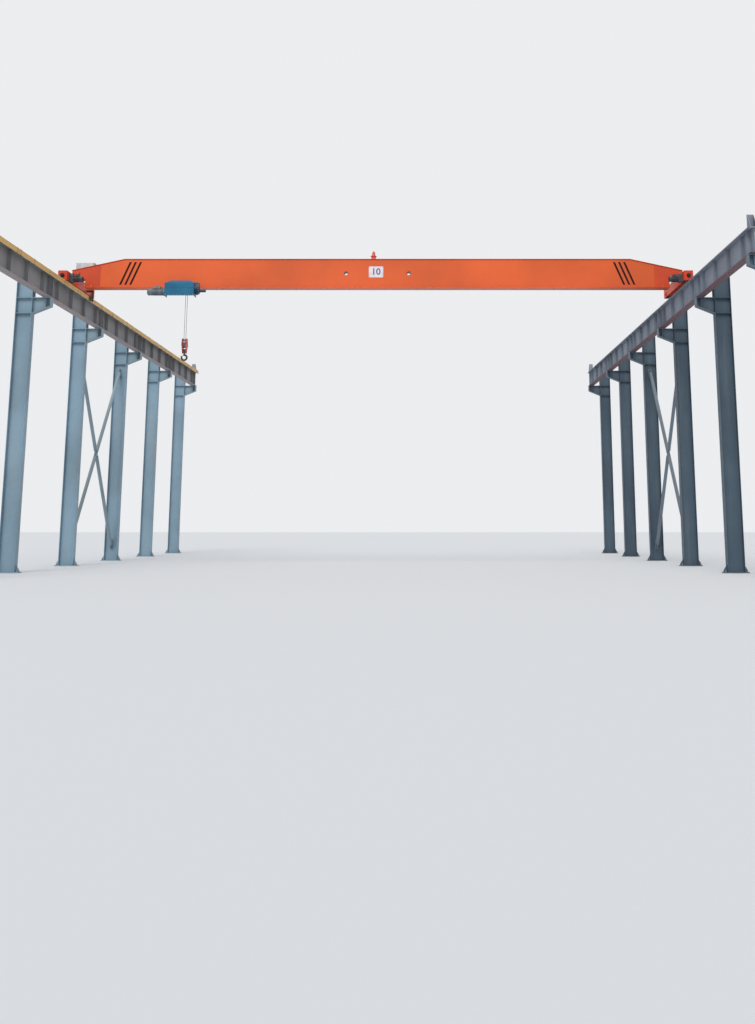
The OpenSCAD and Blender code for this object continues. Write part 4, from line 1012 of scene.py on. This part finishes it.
panel_screws = [
    ((x, back_y, z), (0, -1, 0))
    for x in (panel_x0 + 0.03, middle("electric_cabinet").x, panel_x1 - 0.03)
    for z in (panel_z + 0.03, panel_z + 0.385)
]
bolt("cabinet_screws", "bridge", "dark_steel", panel_screws, **small_screw)
gland_x = panel_x0 + 0.43
panel_glands = [((gland_x + 0.05 * k, door_y - 0.14, panel_low.z), (0, 0, -1)) for k in range(3)]
bolt("cabinet_glands", "bridge", "dark_steel", panel_glands, black_plastic, **gland)


# Trolley
# Two side plates with stub pins for the flanged wheels, joined under the girder by round bars
# with collars. Everything on it is sprayed blue or dark grey.
hoist_blue = paint("hoist blue", rgb(16, 98, 132), rgb(70, 100, 112), 0.25, 0.1, 0.34, 1.4, 0.4)
dress(hoist_blue, "trolley_plates", "drum_frame", "drum_cover", "control_cabinet")
dress(dark_paint, "crossbars", "rope_anchor")
gear_paint = paint("gear case blue", rgb(34, 54, 84), rgb(84, 92, 100), 0.3, 0.35, 0.4, 2.0)
dress(gear_paint, "hoist_gearbox")
hood_low, hood_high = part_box("drum_cover")
hoist_x = middle("drum_cover").x
_, drum_y, drum_z = middle("rope_drum")
collar_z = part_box("crossbars")[0].z
collar_screws = [
    ((hoist_x + sx * 0.33, crane_y + sy * 0.316, collar_z), (0, 0, -1))
    for sx in both for sy in both
]
bolt("collar_screws", "trolley", "dark_steel", collar_screws, across=0.014, head=0.01,
     washer=0.001, stud=0.002)


# Drum hood
# Folded sheet over the drum, with a swage pressed along its front and screws along its edges.
swage = [
    (hood_low.x + 0.02, drum_z + 0.02), (hood_high.x - 0.02, drum_z + 0.02),
    (hood_high.x - 0.03, drum_z + 0.045), (hood_low.x + 0.03, drum_z + 0.045),
]
mesh = slab("hood_swage", swage, hood_low.y, hood_low.y - 0.006, 0.002)
make(mesh, "trolley", hoist_blue)
hood_screws = [
    ((hoist_x + (k - 3.5) * 0.145, hood_low.y, hood_low.z + 0.03), (0, -1, 0)) for k in range(8)
]
hood_screws += [
    ((x, hood_low.y + 0.05 + k * 0.11, hood_low.z + 0.03), (way, 0, 0))
    for x, way in ((hood_low.x, -1), (hood_high.x, 1)) for k in range(4)
]
bolt("hood_screws", "trolley", "hoist_paint", hood_screws, across=0.014, head=0.007,
     washer=0.0015, stud=0.001)


# Hoist motor and gear case
# A finned motor stands out on the left, the gear case and the limit switch on the right. The
# case's cover is bolted on all round.
motor_wear = (rgb(150, 152, 150), 0.4, 0.3, 0.45, 3.0, 0.3)
motor_grey = paint("hoist motor grey", rgb(100, 112, 122), *motor_wear)
dress(motor_grey, "hoist_motor")
motor_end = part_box("hoist_motor")[0].x
motor_z = drum_z - 0.1
guard_spot = [((motor_end - 0.002, drum_y, motor_z), (-1, 0, 0))]
grow("hoist_motor_guard", guards, "trolley", "motor_paint", guard_spot, radius=0.095, wire=0.003,
     finish=dark_paint)
switch_length = 0.25
case_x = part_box("hoist_gearbox")[1].x - switch_length
case_rise = 0.16
rim = round_spots(0.172, range(150, 391, 30))
rim += [(y * 0.09, case_rise + z * 0.082) for y, z in round_spots(1.0, range(180, -1, -45))]
gear_bolts = [((case_x, drum_y + y, drum_z + z), (1, 0, 0)) for y, z in rim]
bolt("gear_bolts", "trolley", "gear_paint", gear_bolts, across=0.022, head=0.014)


# Control cabinet
# A folded steel box on a shelf behind the girder, with a door, two hinges, a quarter-turn lock
# and cable glands in its side.
box_low, box_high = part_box("control_cabinet")
door_t = 0.014
door = plate_outline(box_low.x + 0.02, box_high.x - 0.02, box_low.z + 0.02, box_high.z - 0.02)
mesh = slab("cabinet_door", door, box_high.y, box_high.y + door_t, 0.004)
make(mesh, "trolley", hoist_blue)
heights = (box_low.z + 0.09, box_high.z - 0.09)
hinges("door_hinge", "trolley", box_low.x + 0.006, box_high.y, heights)
lock_z = middle("control_cabinet").z
lock = [((box_high.x - 0.06, box_high.y + door_t, lock_z), (0, 1, 0))]
bolt("door_lock", "trolley", "dark_steel", lock, black_plastic, across=0.03, head=0.012)
gland_y = box_high.y - 0.06
glands = [((box_high.x, gland_y - 0.07 * k, box_low.z + 0.06), (1, 0, 0)) for k in range(3)]
bolt("cable_glands", "trolley", "dark_steel", glands, black_plastic, **gland)


# Rope drum
# Turned steel with a groove for each turn. The wire rope is laid up from six strands and greased.
dress(wheel_steel("drum steel", 0, drum_y, drum_z, 0.143), "rope_drum")
f = Finish("rope steel")
y = f.part(f.place, 1) - drum_y
angle = y.maths("ARCTAN2", y, f.part(f.place, 2) - drum_z)
lay = (angle * 60.0 + f.part(f.place, 0) * 420.0).function("SINE")
grease = f.noise(30.0, 4.0, 0.6)
# Dark lines along the lay are painted shade in the grooves between the strands; the grease patches
# after them are real.
rope_shade = f.mix(f.step(lay, -0.9, 0.7), rgb(24, 22, 20), rgb(104, 100, 94))
rope_shade = f.mix(f.step(grease, 0.5, 0.75) * 0.6, rope_shade, rgb(44, 38, 30))
wound_steel = f.done(base_color=rope_shade, roughness=f.between(grease, 0.3, 0.55),
                     metallic=0.6, normal=f.bump(lay, 0.003, 0.8))


def turn_tree():
    """Turns of rope side by side. The point is the first one's centre, its direction the axis."""
    g = Growth("rope_turns", count=30, pitch=0.018, drum=0.15, radius=0.0075)
    turn = g.swept(g.circle(64, g.size("drum")), g.circle(10, g.size("radius")))
    row = g.row(g.size("count"), g.vector(z=g.size("pitch")))
    return g.planted(g.copies(turn, row), g.facing())


turn_low, turn_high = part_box("wound_rope")
turn_pitch = 0.018
turn_count = round((turn_high.x - turn_low.x) / turn_pitch)
first_turn = [((turn_low.x + 0.0075, drum_y, drum_z), (1, 0, 0))]
turns = grow("rope_turns", turn_tree(), "drum", "rope_steel", first_turn, count=turn_count,
             pitch=turn_pitch, finish=wound_steel)
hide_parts("wound_rope")


# Falls of rope
# One fall comes down from the drum, passes under the sheave and goes up again to the socket
# under the trolley.
def rope_tree():
    """Six strands laid round a core, along the edges that join the points."""
    g = Growth("laid_rope", radius=0.0075, lay=0.11, step=0.009, strands=6.0)
    run = g.node("GeometryNodeSplineParameter", {}, {}, "Length")
    tilt = run * (2 * math.pi) / g.size("lay")
    line = g.node("GeometryNodeSetCurveTilt", {}, {"Curve": g.path(), "Tilt": tilt})
    share = g.node("GeometryNodeSplineParameter", {}, {}, "Factor")
    around = share * (2 * math.pi) * g.size("strands")
    lobe = around.function("COSINE")
    size = g.size("radius") * (0.9 + lobe * 0.1)
    spot = g.node("GeometryNodeInputPosition", {}, {})
    place = g.node("ShaderNodeVectorMath", {"operation": "SCALE"}, {0: spot, "Scale": size})
    inputs = {"Geometry": g.circle(24, 1.0), "Position": place}
    strands = g.node("GeometryNodeSetPosition", {}, inputs)
    return g.done(g.swept(line, strands, True))


ropes = rope_tree()
fall_low, fall_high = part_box("hoist_ropes")
fall_x = (fall_low.x + fall_high.x) / 2
rope_r = (fall_high.x - fall_low.x) / 2
sheave_r = (fall_high.y - fall_low.y) / 2 - rope_r
sheave_y = (fall_low.y + fall_high.y) / 2
sheave_z = fall_low.z + rope_r + sheave_r
socket_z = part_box("rope_anchor")[0].z + 0.02
f = Finish("fall steel")
grease = f.noise(24.0, 4.0, 0.6)
fall_shade = f.mix(f.step(grease, 0.4, 0.7), rgb(96, 92, 88), rgb(48, 44, 40))
fall_steel = f.done(base_color=fall_shade, roughness=f.between(grease, 0.35, 0.55), metallic=0.5)


def lay_rope(name, path, steel, body):
    edges = [(i, i + 1) for i in range(len(path) - 1)]
    places = [(point, up) for point in path]
    return grow(name, ropes, body, "rope_steel", places, edges, radius=rope_r, finish=steel)


bend = round_spots(sheave_r, [180 + 180 * k / 32 for k in range(33)])
bend = [(fall_x, sheave_y + y, sheave_z + z) for y, z in bend]
bend_rope = lay_rope("rope_bend", bend, fall_steel, "hook_block")
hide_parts("hoist_ropes")
drum_end = ("drum_fall", sheave_y - sheave_r, drum_z)
anchor_end = ("anchor_fall", sheave_y + sheave_r, socket_z)
for name, y, top in (drum_end, anchor_end):
    fall = lay_rope(name, [(fall_x, y, sheave_z), (fall_x, y, top)], fall_steel, None)
    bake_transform(fall)


# Hook block
# Two red cheek plates bolted together round the sheave, with rope guards. The hook hangs from a
# crosshead between them and has a sprung latch.
block_red = paint("block red", rgb(204, 58, 42), rgb(120, 66, 52), 0.3, 0.3, 0.4, 3.0)
dress(block_red, "block_cheeks")
dress(wheel_steel("sheave steel", 0, sheave_y, sheave_z, 0.13), "block_sheave")
forged = paint("forged hook", rgb(58, 56, 56), rgb(96, 84, 74), 0.3, 0.3, 0.45, 3.0, 0.8)
dress(forged, "hook", "crosshead", "latch")
block_inside = 0.062
cheek_t = 0.016
cheek_x = block_inside + cheek_t
guard_r = 0.181
ring = round_spots(guard_r, (62, 118, -25, -155))
ring = [(sheave_y + y, sheave_z + z) for y, z in ring]
guard_spots = [((fall_x - cheek_x, y, z), (1, 0, 0)) for y, z in ring]
guard_bolts = [((fall_x + s * cheek_x, y, z), (s, 0, 0)) for y, z in ring for s in both]
bolt("guard_bolts", "hook_block", "dark_steel", guard_bolts, across=0.02, head=0.012)


def rod_tree():
    """A round rod from each point along its direction."""
    g = Growth("rods", radius=0.006, length=0.15, sides=12)
    length = g.size("length")
    rod = g.disc(g.size("sides"), g.size("radius"), length, g.vector(z=length / 2))
    return g.planted(rod, g.facing())


rods = rod_tree()
grow("rope_guards", rods, "hook_block", "dark_steel", guard_spots, length=2 * cheek_x, finish=zinc)


# Studio
# A plain pale floor and backdrop under soft light, none of it part of the crane. What is seen
# directly, in a reflection or through a lens is a little paler than what lights the crane.
bpy.ops.mesh.primitive_plane_add(size=240, location=(0, 40, -0.001))
floor = bpy.context.object
floor.name = "studio_floor"
f = Finish("studio floor")
floor.data.materials.append(f.done(base_color=rgb(212, 214, 216), roughness=0.85))

world = bpy.data.worlds.new("studio")
bpy.context.scene.world = world
world.use_nodes = True
w = Wiring(world.node_tree)
seen = w.node("ShaderNodeLightPath", {}, {}, "Is Camera Ray")
for ray in ("Is Glossy Ray", "Is Transmission Ray"):
    seen = seen.maths("MAXIMUM", seen, w.node("ShaderNodeLightPath", {}, {}, ray))
tones = {0: seen, 6: (0.72, 0.73, 0.75, 1), 7: (0.84, 0.85, 0.87, 1)}
sky = w.node("ShaderNodeMix", {"data_type": "RGBA"}, tones, 2)
backdrop = world.node_tree.nodes["Background"]
world.node_tree.links.new(sky.socket, backdrop.inputs["Color"])

sun = put("key_light", bpy.data.lights.new("key_light", "SUN"))
sun.data.energy = 1.6
sun.data.angle = math.radians(30)
sun.rotation_euler = (math.radians(50), math.radians(-12), 0)

bpy.context.scene.view_settings.view_transform = "Standard"
